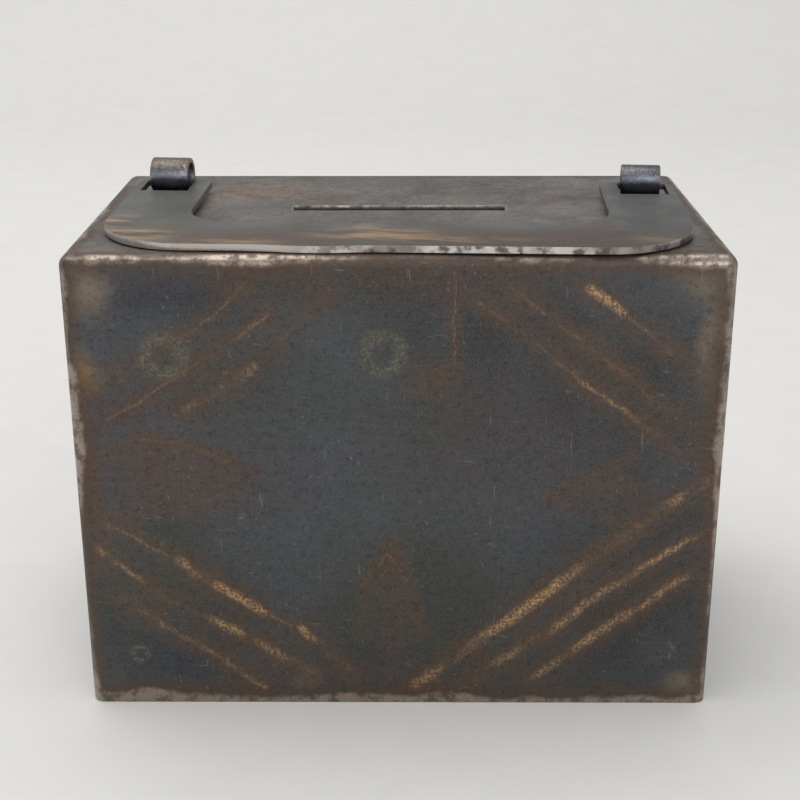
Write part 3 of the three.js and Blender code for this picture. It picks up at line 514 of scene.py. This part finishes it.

# %% [markdown]
# ### The whole skin
# The layers of the real box go on in the order in which it got them: black skin, burnished lines and weld
# marks, specks, then edges and the slot's lip worn down to bare metal. Before the specks the top is painted
# pale grey as a painted reflection of the sky, with real brown and rust stains on it.

# %% The blackened finish
def make_blackened(name, decorated):
    """Blackened steel; the walls are decorated, the trap door and its frame are not."""
    material, tree, shader, place = new_material(name)
    axes, flat, upward, upright, rim = wall_place(tree, place)
    clouds, pits, specks = use_group(tree, OLD_SKIN, {"Vector": place})
    grain = use_group(tree, BRUSHED_GRAIN, {"Vector": place})
    scuffs = use_group(tree, SCUFFS, {"Vector": place})

    # the black itself: slate and olive clouds
    tone = noise(tree, place, 22, 3, 0.5, offset=(4, 4, 1))
    skin = blend(tree, fade(tree, tone, 0.36, 0.62), OLIVE, SLATE)
    mottle = noise(tree, place, 380, 5, 0.7, offset=(2, 8, 5))
    ragged = noise(tree, place, 110, 5, 0.65, offset=(6, 3, 8))
    blotch = fade(tree, ragged, 0.36, 0.62)
    if decorated:
        torn = wobble(tree, flat, 14 * MM, 40)
        for (x, z), (reach_x, reach_z), color, strength in ZONES:
            spot = use_group(tree, SOFT_SPOT, {
                "Vector": torn, "Centre": (x * MM, 0, z * MM), "Reach": (reach_x * MM, 1, reach_z * MM),
            })
            spot = calc(tree, "MULTIPLY", spot, fade(tree, blotch, 0.0, 1.0, strength * 0.6, strength))
            skin = blend(tree, spot, skin, color)
    height = calc(tree, "ADD", calc(tree, "MULTIPLY", grain, 0.4), calc(tree, "MULTIPLY", pits, 0.35))
    shine = 0.0

    if decorated:
        # burnished lines: a brown halo, a rubbed core and bright flecks in it
        drawn = wobble(tree, wobble(tree, flat, 3.2 * MM, 45), 1.3 * MM, 380)
        narrow = calc(tree, "MULTIPLY", stroke_field(tree, drawn, ARROW_STROKES), 1.5)
        gap = calc(tree, "MINIMUM", stroke_field(tree, drawn, CORNER_STROKES), narrow)
        patch = noise(tree, flat, 75, 3, 0.55, offset=(5, 0, 9))
        halo = fade(tree, gap, 5.4 * MM, 0.2 * MM)
        halo = calc(tree, "MULTIPLY", halo, fade(tree, patch, 0.34, 0.62, 0.45, 1.0))
        press = fade(tree, noise(tree, flat, 70, 3, 0.6, offset=(8, 0, 3)), 0.40, 0.64, 0.05, 1.0)
        core = calc(tree, "MULTIPLY", fade(tree, gap, 1.5 * MM, 0.1 * MM), press)
        fleck = noise(tree, flat, 1700, 4, 0.66, offset=(2, 0, 2))
        gold = calc(tree, "MULTIPLY", core, fade(tree, fleck, 0.42, 0.58))
        skin = blend(tree, halo, skin, BROWN)
        skin = blend(tree, calc(tree, "MULTIPLY", core, 0.5), skin, RUBBED)
        skin = blend(tree, gold, skin, GOLD)
        weld, speck = weld_marks(tree, flat)
        skin = blend(tree, calc(tree, "MULTIPLY", weld, 0.55), skin, WELD_DULL)
        weld = calc(tree, "MULTIPLY", weld, speck)
        skin = blend(tree, calc(tree, "MULTIPLY", weld, 0.6), skin, WELD_PALE)
        shine = calc(tree, "MAXIMUM", gold, weld)

    # the top is painted pale grey as a painted reflection of the sky; the brown blotches and the one rust
    # bloom left of the slot are real stains on it
    bloom = use_group(tree, SOFT_SPOT, {
        "Vector": place, "Centre": (-28 * MM, 15 * MM, TOP), "Reach": (18 * MM, 11 * MM, 5 * MM),
    })
    top_sheen_and_rust = blend(tree, clouds, TOP_SHEEN_GREY, TOP_SHEEN_DARK)
    top_sheen_and_rust = blend(tree, fade(tree, ragged, 0.48, 0.66, 0, 0.6), top_sheen_and_rust, TOP_BROWN)
    rust = calc(tree, "MULTIPLY", bloom, fade(tree, mottle, 0.40, 0.58, 0.1, 0.8))
    top_sheen_and_rust = blend(tree, rust, top_sheen_and_rust, RUST)
    # painted reflection: the pale top is laid over the top faces
    skin = blend(tree, calc(tree, "MULTIPLY", upward, 0.94), skin, top_sheen_and_rust)

    # dark and pale specks all over
    skin = blend(tree, fade(tree, mottle, 0.38, 0.78, 0, 0.40), skin, BLACK)
    skin = blend(tree, calc(tree, "MULTIPLY", specks, 0.22), skin, PALE_SPECK)
    skin = blend(tree, fade(tree, grain, 0.52, 0.66, 0, 0.18), skin, PALE_GRAIN)

    # edges: brown first, then bare metal, broken up by noise
    big = noise(tree, place, 34, 2, 0.5, offset=(1, 6, 2))
    push = calc(tree, "MULTIPLY", calc(tree, "SUBTRACT", ragged, 0.5), 4.0 * MM)
    push = calc(tree, "ADD", push, calc(tree, "MULTIPLY", calc(tree, "SUBTRACT", big, 0.5), 6.0 * MM))
    near_foot = calc(tree, "SUBTRACT", axes[2], 0.5 * MM)
    near = calc(tree, "MINIMUM", calc(tree, "MINIMUM", upright, rim), near_foot)
    near = calc(tree, "SUBTRACT", near, push)
    skin = blend(tree, fade(tree, near, 4.6 * MM, 0.8 * MM, 0, 0.75), skin, BROWN)
    grime = noise(tree, place, 850, 5, 0.75, offset=(3, 9, 1))
    skin = blend(tree, fade(tree, grime, 0.50, 0.66, 0, 0.55), skin, BLACK)
    bare = fade(tree, near, 1.4 * MM, 0.2 * MM)
    bare = calc(tree, "MULTIPLY", bare, fade(tree, mottle, 0.62, 0.44, 0.15, 1.0))
    skin = blend(tree, bare, skin, BARE)

    # coin slot: its lip is polished by coins
    lip_x = calc(tree, "SUBTRACT", calc(tree, "ABSOLUTE", axes[0]), SLOT_HALF.x)
    lip_y = calc(tree, "ABSOLUTE", calc(tree, "SUBTRACT", axes[1], SLOT_MID.y))
    lip = calc(tree, "MAXIMUM", lip_x, calc(tree, "SUBTRACT", lip_y, SLOT_HALF.y))
    lip = calc(tree, "MULTIPLY", fade(tree, lip, 0.6 * MM, 0.2 * MM), upward)
    lip = calc(tree, "MULTIPLY", lip, fade(tree, mottle, 0.40, 0.60))
    skin = blend(tree, calc(tree, "MULTIPLY", lip, 0.6), skin, POLISHED)

    skin = blend(tree, calc(tree, "MULTIPLY", scuffs, 0.30), skin, SCUFFED)
    shine = calc(tree, "MAXIMUM", calc(tree, "MAXIMUM", bare, lip), shine)
    metal = calc(tree, "ADD", calc(tree, "MULTIPLY", shine, 0.6), 0.40)
    metal = calc(tree, "MAXIMUM", metal, calc(tree, "MULTIPLY", upward, 0.8))
    rough = calc(tree, "ADD", calc(tree, "MULTIPLY", clouds, 0.12), 0.42)
    rough = calc(tree, "ADD", rough, calc(tree, "MULTIPLY", pits, 0.08))
    rough = calc(tree, "SUBTRACT", rough, calc(tree, "MULTIPLY", shine, 0.20))
    plug(tree, shader, skin, metal, rough, height, 0.08 * MM, 0.45)
    return material


BLACKENED_WALLS = make_blackened("blackened_walls", True)
BLACKENED_DOOR = make_blackened("blackened_door", False)
print("made", BLACKENED_WALLS.name, BLACKENED_DOOR.name)

# %% [markdown]
# ## Handle, loops and inside metal
# The handle is bare plate gone grey, gold where a hand has rubbed it and bright on its edges, partly from
# wear and partly as a painted highlight. The loops were heated to bend them, which left straw and blue
# bands; their near-black undersides are painted shade. The inside pieces are plain sheet.
# Edge wear on these shapes comes from an attribute on the mesh, because their outlines are curved.

# %% The handle's plate
PLATE_LIGHT = (0.150, 0.152, 0.142)
PLATE_DARK = (0.105, 0.107, 0.102)
PLATE_GRAIN = (0.080, 0.078, 0.074)
PLATE_WARM = (0.125, 0.088, 0.072)
PLATE_SPECK = (0.05, 0.045, 0.04)
PLATE_SCUFF = (0.36, 0.34, 0.31)
HAND_GOLD = (0.46, 0.31, 0.17)
EDGE_BROWN = (0.085, 0.060, 0.050)
# the bright edge colour and the rim tan are partly wear and partly painted highlight
EDGE_WEAR_HIGHLIGHT = (0.66, 0.60, 0.57)
RIM_TAN_HIGHLIGHT = (0.42, 0.34, 0.26)
# across, along, reach across, reach along, strength
HAND_RUBS = [(-51, -17, 7, 10, 1.0), (-45, -25, 11, 7, 0.9), (-28, -30, 12, 3, 0.6), (-4, -25, 16, 6, 1.0),
             (8, -29, 22, 3, 0.55), (44, -29, 12, 4, 0.4), (-5, -20, 4, 3, 0.7)]


def make_handle_plate():
    """Grey plate, brown front bar, gold where hands rub it; bright edges are wear plus painted highlight."""
    material, tree, shader, place = new_material("handle_plate")
    axes = node(tree, "ShaderNodeSeparateXYZ", {0: place}).outputs
    clouds, pits, specks = use_group(tree, OLD_SKIN, {"Vector": place})
    grain = use_group(tree, BRUSHED_GRAIN, {"Vector": place})
    scuffs = use_group(tree, SCUFFS, {"Vector": place})
    skin = blend(tree, clouds, PLATE_LIGHT, PLATE_DARK)
    skin = blend(tree, fade(tree, grain, 0.40, 0.62, 0, 0.45), skin, PLATE_GRAIN)
    # the front bar has gone brown, and hands have rubbed gold into its middle and its left corner
    front = fade(tree, axes[1], -17 * MM, -24 * MM)
    warm = noise(tree, place, 60, 4, 0.6, offset=(3, 3, 3))
    warm = calc(tree, "MULTIPLY", front, fade(tree, warm, 0.36, 0.62, 0.25, 0.85))
    skin = blend(tree, warm, skin, PLATE_WARM)
    streak = noise(tree, place, 150, 4, 0.6, offset=(1, 8, 1), stretch=(0.5, 2.2, 1), turn=(0, 0, -0.25))
    for x, y, reach_x, reach_y, strength in HAND_RUBS:
        rub = use_group(tree, SOFT_SPOT, {
            "Vector": place, "Centre": (x * MM, y * MM, TOP), "Reach": (reach_x * MM, reach_y * MM, 20 * MM),
        })
        rub = calc(tree, "MULTIPLY", rub, fade(tree, streak, 0.38, 0.60, 0, strength))
        skin = blend(tree, rub, skin, HAND_GOLD)
    skin = blend(tree, calc(tree, "MULTIPLY", specks, 0.25), skin, PLATE_SPECK)
    # edges: side and bevel faces go half way to dark brown; the bright edge colour is worn metal in chips,
    # plus a painted highlight that grows towards the front and the left
    edge = node(tree, "ShaderNodeAttribute", attribute_name="edge", attribute_type="GEOMETRY").outputs["Fac"]
    chips_and_highlight = noise(tree, place, 420, 3, 0.6, offset=(5, 5, 5))
    runs = noise(tree, place, 60, 3, 0.6, offset=(7, 5, 1))
    chips_and_highlight = fade(tree, chips_and_highlight, 0.66, 0.46, 0.1, 1.0)
    chips_and_highlight = calc(tree, "MULTIPLY", chips_and_highlight, fade(tree, runs, 0.36, 0.56, 0.25, 1.0))
    chips_and_highlight = calc(tree, "MAXIMUM", chips_and_highlight, fade(tree, axes[0], -4 * MM, -22 * MM, 0, 0.85))
    worn = calc(tree, "MULTIPLY", edge, chips_and_highlight)
    worn = calc(tree, "MULTIPLY", worn, fade(tree, axes[1], -5 * MM, -28 * MM, 0.15, 0.95))
    skin = blend(tree, calc(tree, "MULTIPLY", edge, 0.5), skin, EDGE_BROWN)
    skin = blend(tree, worn, skin, EDGE_WEAR_HIGHLIGHT)
    # painted highlight with wear: the upward-facing rounded rims are blended towards pale tan
    rim = node(tree, "ShaderNodeAttribute", attribute_name="rim", attribute_type="GEOMETRY").outputs["Fac"]
    rim = calc(tree, "MULTIPLY", rim, fade(tree, runs, 0.34, 0.54, 0.2, 0.9))
    skin = blend(tree, rim, skin, RIM_TAN_HIGHLIGHT)
    skin = blend(tree, calc(tree, "MULTIPLY", scuffs, 0.35), skin, PLATE_SCUFF)
    height = calc(tree, "ADD", calc(tree, "MULTIPLY", grain, 0.5), calc(tree, "MULTIPLY", pits, 0.3))
    rough = calc(tree, "SUBTRACT", calc(tree, "ADD", calc(tree, "MULTIPLY", clouds, 0.10), 0.40),
                 calc(tree, "MULTIPLY", worn, 0.14))
    plug(tree, shader, skin, 0.85, rough, height, 0.08 * MM, 0.4)
    return material


HANDLE_PLATE = make_handle_plate()
print("made", HANDLE_PLATE.name)

# %% [markdown]
# ### Heat tint and painted shade
# Steel that has been heated goes straw, then brown, then blue. On the loops the tint follows height,
# so one ramp from foot to top gives all the bands, with noise to keep them from being ruled lines. The
# ramp's near-black foot is painted shade where the loop turns under.

# %% The loops' heat tint and painted shade
# a dark blue-grey that the right loop is blended towards
DARK_BLUE_GREY = (0.055, 0.065, 0.085)
STRAW_EDGE = (0.36, 0.24, 0.11)
BLUE_SPECK = (0.42, 0.43, 0.48)


def make_tint_and_shade(low, high):
    """Colour bands by height on the loop: a near-black foot that is painted shade, blue belly, straw top and
    straw edges.
    """
    material, tree, shader, place = new_material("heat_tint_and_shade")
    axes = node(tree, "ShaderNodeSeparateXYZ", {0: place}).outputs
    shift = noise(tree, place, 300, 4, 0.6)
    level = node(tree, "ShaderNodeMapRange", {"Value": axes[2], "From Min": low, "From Max": high}).outputs[0]
    level = calc(tree, "ADD", level, calc(tree, "MULTIPLY", calc(tree, "SUBTRACT", shift, 0.5), 0.30))
    bands = node(tree, "ShaderNodeValToRGB", {"Fac": level})
    ramp = bands.color_ramp
    while len(ramp.elements) < len(TINTS_AND_FOOT_SHADE):
        ramp.elements.new(0.5)
    for element, (position, color) in zip(ramp.elements, TINTS_AND_FOOT_SHADE):
        element.position = position
        element.color = (*color, 1)
    _, pits, specks = use_group(tree, OLD_SKIN, {"Vector": place})
    scuffs = use_group(tree, SCUFFS, {"Vector": place})
    edge = node(tree, "ShaderNodeAttribute", attribute_name="edge", attribute_type="GEOMETRY").outputs["Fac"]
    upper = fade(tree, level, 0.25, 0.7)
    worn = calc(tree, "MULTIPLY", edge, upper)
    worn = calc(tree, "MULTIPLY", worn, fade(tree, shift, 0.60, 0.40, 0.35, 0.9))
    # the right loop is blended about half way towards a dark blue-grey
    toward_right = fade(tree, axes[0], 0, 40 * MM, 0, 0.55)
    skin = blend(tree, toward_right, bands.outputs[0], DARK_BLUE_GREY)
    skin = blend(tree, worn, skin, STRAW_EDGE)
    skin = blend(tree, calc(tree, "MULTIPLY", pits, 0.35), skin, (0.03, 0.03, 0.035))
    skin = blend(tree, calc(tree, "MULTIPLY", calc(tree, "MULTIPLY", specks, upper), 0.3), skin, BLUE_SPECK)
    skin = blend(tree, calc(tree, "MULTIPLY", scuffs, 0.5), skin, (0.5, 0.5, 0.48))
    rough = calc(tree, "ADD", calc(tree, "MULTIPLY", shift, 0.2), 0.28)
    plug(tree, shader, skin, 0.85, rough, pits, 0.05 * MM, 0.35)
    return material


# the two near-black stops at the foot are painted shade on the loop's underside; the stops above are heat
# tint
TINTS_AND_FOOT_SHADE = [(0.04, (0.008, 0.008, 0.010)), (0.24, (0.030, 0.033, 0.042)), (0.42, (0.15, 0.165, 0.20)),
         (0.60, (0.31, 0.33, 0.37)), (0.75, (0.15, 0.125, 0.12)), (0.87, (0.115, 0.085, 0.050))]
HEAT_TINT_AND_SHADE = make_tint_and_shade(TOP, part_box("handle_loop_left")[1].z)
print("made", HEAT_TINT_AND_SHADE.name)

# %% [markdown]
# ### Plain metals
# The inside pieces differ in colour and shine but not in kind, so one recipe with three colours makes
# sheet, spring steel, lock steel and brass.

# %% Plain metals for what is inside and underneath
def make_plain_metal(name, light, dark, stain, roughness, stain_amount=0.6):
    """Dull metal: two tones in clouds, a stain in the low spots, fine grain and a few scuffs."""
    material, tree, shader, place = new_material(name)
    clouds, pits, _ = use_group(tree, OLD_SKIN, {"Vector": place})
    grain = use_group(tree, BRUSHED_GRAIN, {"Vector": place})
    scuffs = use_group(tree, SCUFFS, {"Vector": place})
    skin = blend(tree, clouds, light, dark)
    spots = noise(tree, place, 150, 5, 0.65, offset=(4, 9, 2))
    skin = blend(tree, fade(tree, spots, 0.50, 0.66, 0, stain_amount), skin, stain)
    skin = blend(tree, calc(tree, "MULTIPLY", scuffs, 0.4), skin, (0.5, 0.48, 0.45))
    height = calc(tree, "ADD", calc(tree, "MULTIPLY", grain, 0.4), calc(tree, "MULTIPLY", pits, 0.3))
    rough = calc(tree, "ADD", calc(tree, "MULTIPLY", clouds, 0.14), roughness)
    plug(tree, shader, skin, 0.85, rough, height, 0.06 * MM, 0.4)
    return material


INSIDE_SHEET = make_plain_metal(
    "inside_sheet", (0.17, 0.155, 0.135), (0.10, 0.09, 0.08), (0.14, 0.07, 0.035), 0.42)
BRIGHT_STEEL = make_plain_metal(
    "bright_steel", (0.42, 0.41, 0.39), (0.28, 0.27, 0.26), (0.20, 0.12, 0.07), 0.30, 0.4)
LOCK_STEEL = make_plain_metal(
    "lock_steel", (0.20, 0.205, 0.19), (0.13, 0.13, 0.125), (0.15, 0.09, 0.05), 0.38)
DULL_BRASS = make_plain_metal(
    "dull_brass", (0.52, 0.34, 0.11), (0.36, 0.22, 0.07), (0.14, 0.09, 0.04), 0.30, 0.5)
print("made four plain metals")

# %% [markdown]
# ## The box
# The real box is one sheet folded and welded at its corners, then filed round. A copy of the CAD shell
# would do, but its corners are built from flat facets that catch the light. So a cube is set to the CAD
# size, its foot is opened, its edges are rolled over with a bevel, and a wall is given to it by
# Solidify. The coin slot and the two slits for the loops are then cut out.

# %% Shape the shell from a cube
def unit_block(name, low, high):
    """A cube primitive that fills a box, with its place and size in its mesh."""
    bpy.ops.object.select_all(action="DESELECT")
    low, high = Vector(low), Vector(high)
    bpy.ops.mesh.primitive_cube_add(size=1, location=(low + high) / 2)
    piece = bpy.context.object
    piece.name = name
    piece.scale = high - low
    bpy.ops.object.transform_apply(location=True, rotation=True, scale=True)
    return piece


EDGE_ROUND = 2.1 * MM
shell = unit_block("money_box_shell", SHELL_LOW, SHELL_HIGH)
pick(shell, "FACE", lambda face: face.normal.z < -0.9)
bpy.ops.mesh.delete(type="FACE")
done(shell)


def above_foot(edge):
    """True for every edge but the four round the open foot."""
    ends = [shell.data.vertices[i].co.z for i in edge.vertices]
    return max(ends) > SHELL_LOW.z + EDGE_ROUND


pick(shell, "EDGE", above_foot)
bpy.ops.mesh.bevel(offset=EDGE_ROUND, segments=8, profile=0.5, affect="EDGES")
done(shell)
wall = shell.modifiers.new("wall", "SOLIDIFY")
wall.thickness = SHEET
wall.offset = -1
wall.use_even_offset = True
bpy.ops.object.modifier_apply(modifier=wall.name)
print("shell with its wall:", len(shell.data.polygons), "faces")

# %% [markdown]
# ### Slot and slits
# A punch cut the real ones out of the top. A block taken away by a Boolean does the same and leaves
# crisp walls, which the last small bevel then softens, as a file would.

# %% Cut the coin slot and the slits for the loops
def cut(piece, cutter):
    """Cuts one block out of the piece and throws the block away."""
    only(piece)
    hole = piece.modifiers.new("hole", "BOOLEAN")
    hole.operation = "DIFFERENCE"
    hole.solver = "EXACT"
    hole.object = cutter
    bpy.ops.object.modifier_apply(modifier=hole.name)
    bpy.data.objects.remove(cutter)


CUT_REACH = 3 * MM
SLOT_CUT = Vector((20, 2.1, 0)) * MM
SLIT_CUT = Vector((4.05, 1.35, 0)) * MM
SLIT_REACH = 10 * MM
LOOP_TURN = math.radians(-6)
slot_place = Vector((SLOT_MID.x, SLOT_MID.y, TOP))
deep = Vector((0, 0, CUT_REACH))
cut(shell, unit_block("slot_cutter", slot_place - SLOT_CUT - deep, slot_place + SLOT_CUT + deep))
for side in ("left", "right"):
    low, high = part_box(f"handle_loop_{side}")
    middle = (low + high) / 2
    slit = unit_block("slit_cutter", middle - SLIT_CUT - Vector((0, 0, SLIT_REACH)), middle + SLIT_CUT)
    about = Matrix.Translation(middle) @ Matrix.Rotation(LOOP_TURN, 4, "Z") @ Matrix.Translation(-middle)
    slit.data.transform(about)
    cut(shell, slit)
soften(shell, 0.22 * MM, 2, 45)
finish_piece(shell, "box", ["body_shell"], BLACKENED_WALLS)

# %% [markdown]
# ## The handle and its loops
# The real ones are cut and rolled from sheet and filed by hand. Drawing the scallops again as a curve
# could miss the CAD outline, so both are copies of their CAD shapes, merged so that their faces are
# whole, with their edges softened by a bevel. The faces that aren't flat sides of the sheet get an
# edge attribute of 1, which tells the finish where metal is rubbed and, on the handle, where its edges
# get a painted highlight. The handle's front was once bent by hand and never quite undone.

# %% Edge attribute
def mark_faces(piece, name, test):
    """Writes 1 on the faces that pass a test and 0 on all others, for the finish to read."""
    mark = piece.data.attributes.new(name, "FLOAT", "FACE")
    for face in piece.data.polygons:
        mark.data[face.index].value = float(test(face))
    print(piece.name, name, sum(value.value for value in mark.data), "faces")


print("ready to mark worn faces")

# %% [markdown]
# ### The handle's bend
# The front rim dips out a little where somebody once levered it. Cuts across the bar give it enough
# points to curve, and a soft pull on the rim moves those nearby less and less.

# %% The handle, with its small hand bend
BEND_CUTS = (-26, -22, -19, -16, -13, -10, -7, -4)
BEND_MIDDLE = -14.5 * MM
BEND_HALF = 4 * MM
BEND_FRONT = -30 * MM
BEND_PUSH = (0, -0.45 * MM, -0.12 * MM)
BEND_SPREAD = 9 * MM


def on_bent_rim(point):
    """True for points in the middle of the bend, on the front rim."""
    return abs(point.co.x - BEND_MIDDLE) < BEND_HALF and point.co.y < BEND_FRONT


handle = cad_copy("carry_handle", "folding_handle")
for x in BEND_CUTS:
    pick(handle, "FACE", lambda face: True)
    bpy.ops.mesh.bisect(plane_co=(x * MM, 0, 0), plane_no=(1, 0, 0))
    done(handle)
rim_points = pick(handle, "VERT", on_bent_rim)
bpy.ops.transform.translate(value=BEND_PUSH, use_proportional_edit=True,
                            proportional_edit_falloff="SMOOTH", proportional_size=BEND_SPREAD,
                            use_proportional_connected=True)
done(handle)
print("bent points:", rim_points)
soften(handle, 0.28 * MM, 3, 35)
mark_faces(handle, "edge", lambda face: abs(face.normal.z) < 0.985)
mark_faces(handle, "rim", lambda face: 0.2 < face.normal.z < 0.985)
finish_piece(handle, "handle", ["carry_handle"], HANDLE_PLATE)

# %% [markdown]
# ### Rolled loops
# Each is a strip rolled round the handle's bar, worn to straw colour on the two edges of the strip.
# Those edges face along the loop's own axis, which is how they are found.

# %% The two loops
loop_axis = Vector((math.cos(LOOP_TURN), math.sin(LOOP_TURN), 0))
for side in ("left", "right"):
    loop = cad_copy(f"handle_loop_{side}", f"rolled_loop_{side}")
    soften(loop, 0.2 * MM, 2, 40)
    mark_faces(loop, "edge", lambda face: abs(face.normal.dot(loop_axis)) > 0.35)
    finish_piece(loop, "box", [f"handle_loop_{side}"], HEAT_TINT_AND_SHADE)

# %% [markdown]
# ## The trap door and its hardware
# The door and the keyhole plate are seen from below, so their edges are softened too. The rest of the
# hardware keeps its CAD shape and gets its metal.

# %% Door, plates and rivets
for node_name, name, slot, material in (
    ("bottom_door", "trap_door", "oxidised_shell", BLACKENED_DOOR),
    ("keyhole_plate", "keyhole_cover", "brass", DULL_BRASS),
    ("lock_case", "lock_cover", "worn_steel", LOCK_STEEL),
):
    piece = cad_copy(node_name, name)
    soften(piece, 0.15 * MM, 2, 40)
    finish_piece(piece, "door", [node_name], material)

METAL_OF_SLOT = {
    "oxidised_shell": BLACKENED_DOOR, "worn_steel": LOCK_STEEL, "heat_tinted_steel": HEAT_TINT_AND_SHADE,
    "inside_steel": INSIDE_SHEET, "bright_steel": BRIGHT_STEEL, "brass": DULL_BRASS,
}
for entry in frame["record"]["subparts"]:
    cad_node = frame["nodes"][entry["node"]]
    if not cad_node.hide_render:
        cad_node.data.materials.clear()
        cad_node.data.materials.append(METAL_OF_SLOT[entry["material_slot"]])
print("painted the CAD nodes that still show")

# %% [markdown]
# ## Floor, light and camera
# A pale floor that curves up into a backdrop, a soft lamp above and a dimmer one in front.

# %% Floor and backdrop
FLOOR_SIZE = 6
BACKDROP_FORWARD = -1.9
BACKDROP_HIGH = 2.5
BACKDROP_ROUND = 0.5


def make_floor():
    """A plane whose far edge is drawn up into a wall, with the fold between them rounded."""
    material, tree, shader, place = new_material("pale_floor")
    speck = noise(tree, place, 60, 6, 0.6)
    height = node(tree, "ShaderNodeSeparateXYZ", {0: place}).outputs[2]
    skin = blend(tree, fade(tree, speck, 0.3, 0.7), (0.680, 0.670, 0.650), (0.700, 0.690, 0.670))
    # painted shade: the backdrop is painted darker the higher it rises
    skin = blend(tree, fade(tree, height, 0.0, 0.5), skin, (0.53, 0.54, 0.55))
    plug(tree, shader, skin, 0.0, 0.8)
    bpy.ops.object.select_all(action="DESELECT")
    bpy.ops.mesh.primitive_plane_add(size=FLOOR_SIZE, location=(0, 0, 0))
    floor = bpy.context.object
    floor.name = "pale_floor"
    pick(floor, "EDGE", lambda edge: all(floor.data.vertices[i].co.y > 1 for i in edge.vertices))
    bpy.ops.transform.translate(value=(0, BACKDROP_FORWARD, 0))
    bpy.ops.mesh.extrude_region_move(TRANSFORM_OT_translate={"value": (0, 0, BACKDROP_HIGH)})
    done(floor)
    pick(floor, "EDGE", lambda edge: all(
        abs(floor.data.vertices[i].co.z) < 1e-4 and floor.data.vertices[i].co.y > 1 for i in edge.vertices))
    bpy.ops.mesh.bevel(offset=BACKDROP_ROUND, segments=12, affect="EDGES")
    done(floor)
    bpy.ops.object.shade_smooth()
    floor.data.materials.append(material)
    return floor


print("floor reaches", [round(size, 2) for size in make_floor().dimensions], "m")

# %% [markdown]
# ### Light
# One large soft lamp above and a dimmer one in front show the edges without hard glints. The sky fills
# the shadows.

# %% Lamps and sky
def add_lamp(name, place, look_at, size, power, color):
    """A soft rectangular lamp that faces a point."""
    light = bpy.data.lights.new(name, "AREA")
    light.shape = "RECTANGLE"
    light.size, light.size_y = size
    light.energy = power
    light.color = color
    lamp = bpy.data.objects.new(name, light)
    lamp.location = place
    lamp.rotation_euler = (Vector(look_at) - Vector(place)).to_track_quat("-Z", "Y").to_euler()
    bpy.context.collection.objects.link(lamp)


add_lamp("soft_overhead", (-0.25, 0.15, 1.1), (0, 0, 0.04), (1.2, 1.2), 9.5, (1, 0.985, 0.96))
add_lamp("front_fill", (0.3, -1.3, 0.7), (0, 0, 0.04), (1.0, 0.8), 5.5, (0.98, 0.985, 1))
world = bpy.data.worlds.new("soft_sky")
world.use_nodes = True
world.node_tree.nodes["Background"].inputs[0].default_value = (0.86, 0.88, 0.90, 1)
world.node_tree.nodes["Background"].inputs[1].default_value = 0.68
bpy.context.scene.world = world
bpy.context.scene.view_settings.view_transform = "Standard"

# %% [markdown]
# ### Camera
# It stands close, so the box's sides draw together towards the floor, and looks down on the front.

# %% Camera
CAMERA_PLACE = (2.2 * MM, -270.4 * MM, 146.6 * MM)
LENS_MM = 65.75
SENSOR_MM = 36
LOOK_DOWN = 20.13
LOOK_LEFT = 0.45
ROLL = -0.12


def add_camera():
    """Stands 27 cm in front of the box's middle and looks 20 degrees down on it."""
    lens = bpy.data.cameras.new("camera")
    lens.sensor_width = SENSOR_MM
    lens.lens = LENS_MM
    lens.clip_start = 0.01
    camera = bpy.data.objects.new("camera", lens)
    turn = Matrix.Rotation(math.radians(LOOK_LEFT), 4, "Z")
    tilt = Matrix.Rotation(math.radians(90 - LOOK_DOWN), 4, "X")
    roll = Matrix.Rotation(math.radians(ROLL), 4, "Z")
    camera.matrix_world = Matrix.Translation(CAMERA_PLACE) @ turn @ tilt @ roll
    bpy.context.collection.objects.link(camera)
    bpy.context.scene.camera = camera


add_camera()
print("camera at", [round(value, 4) for value in bpy.context.scene.camera.matrix_world.translation])
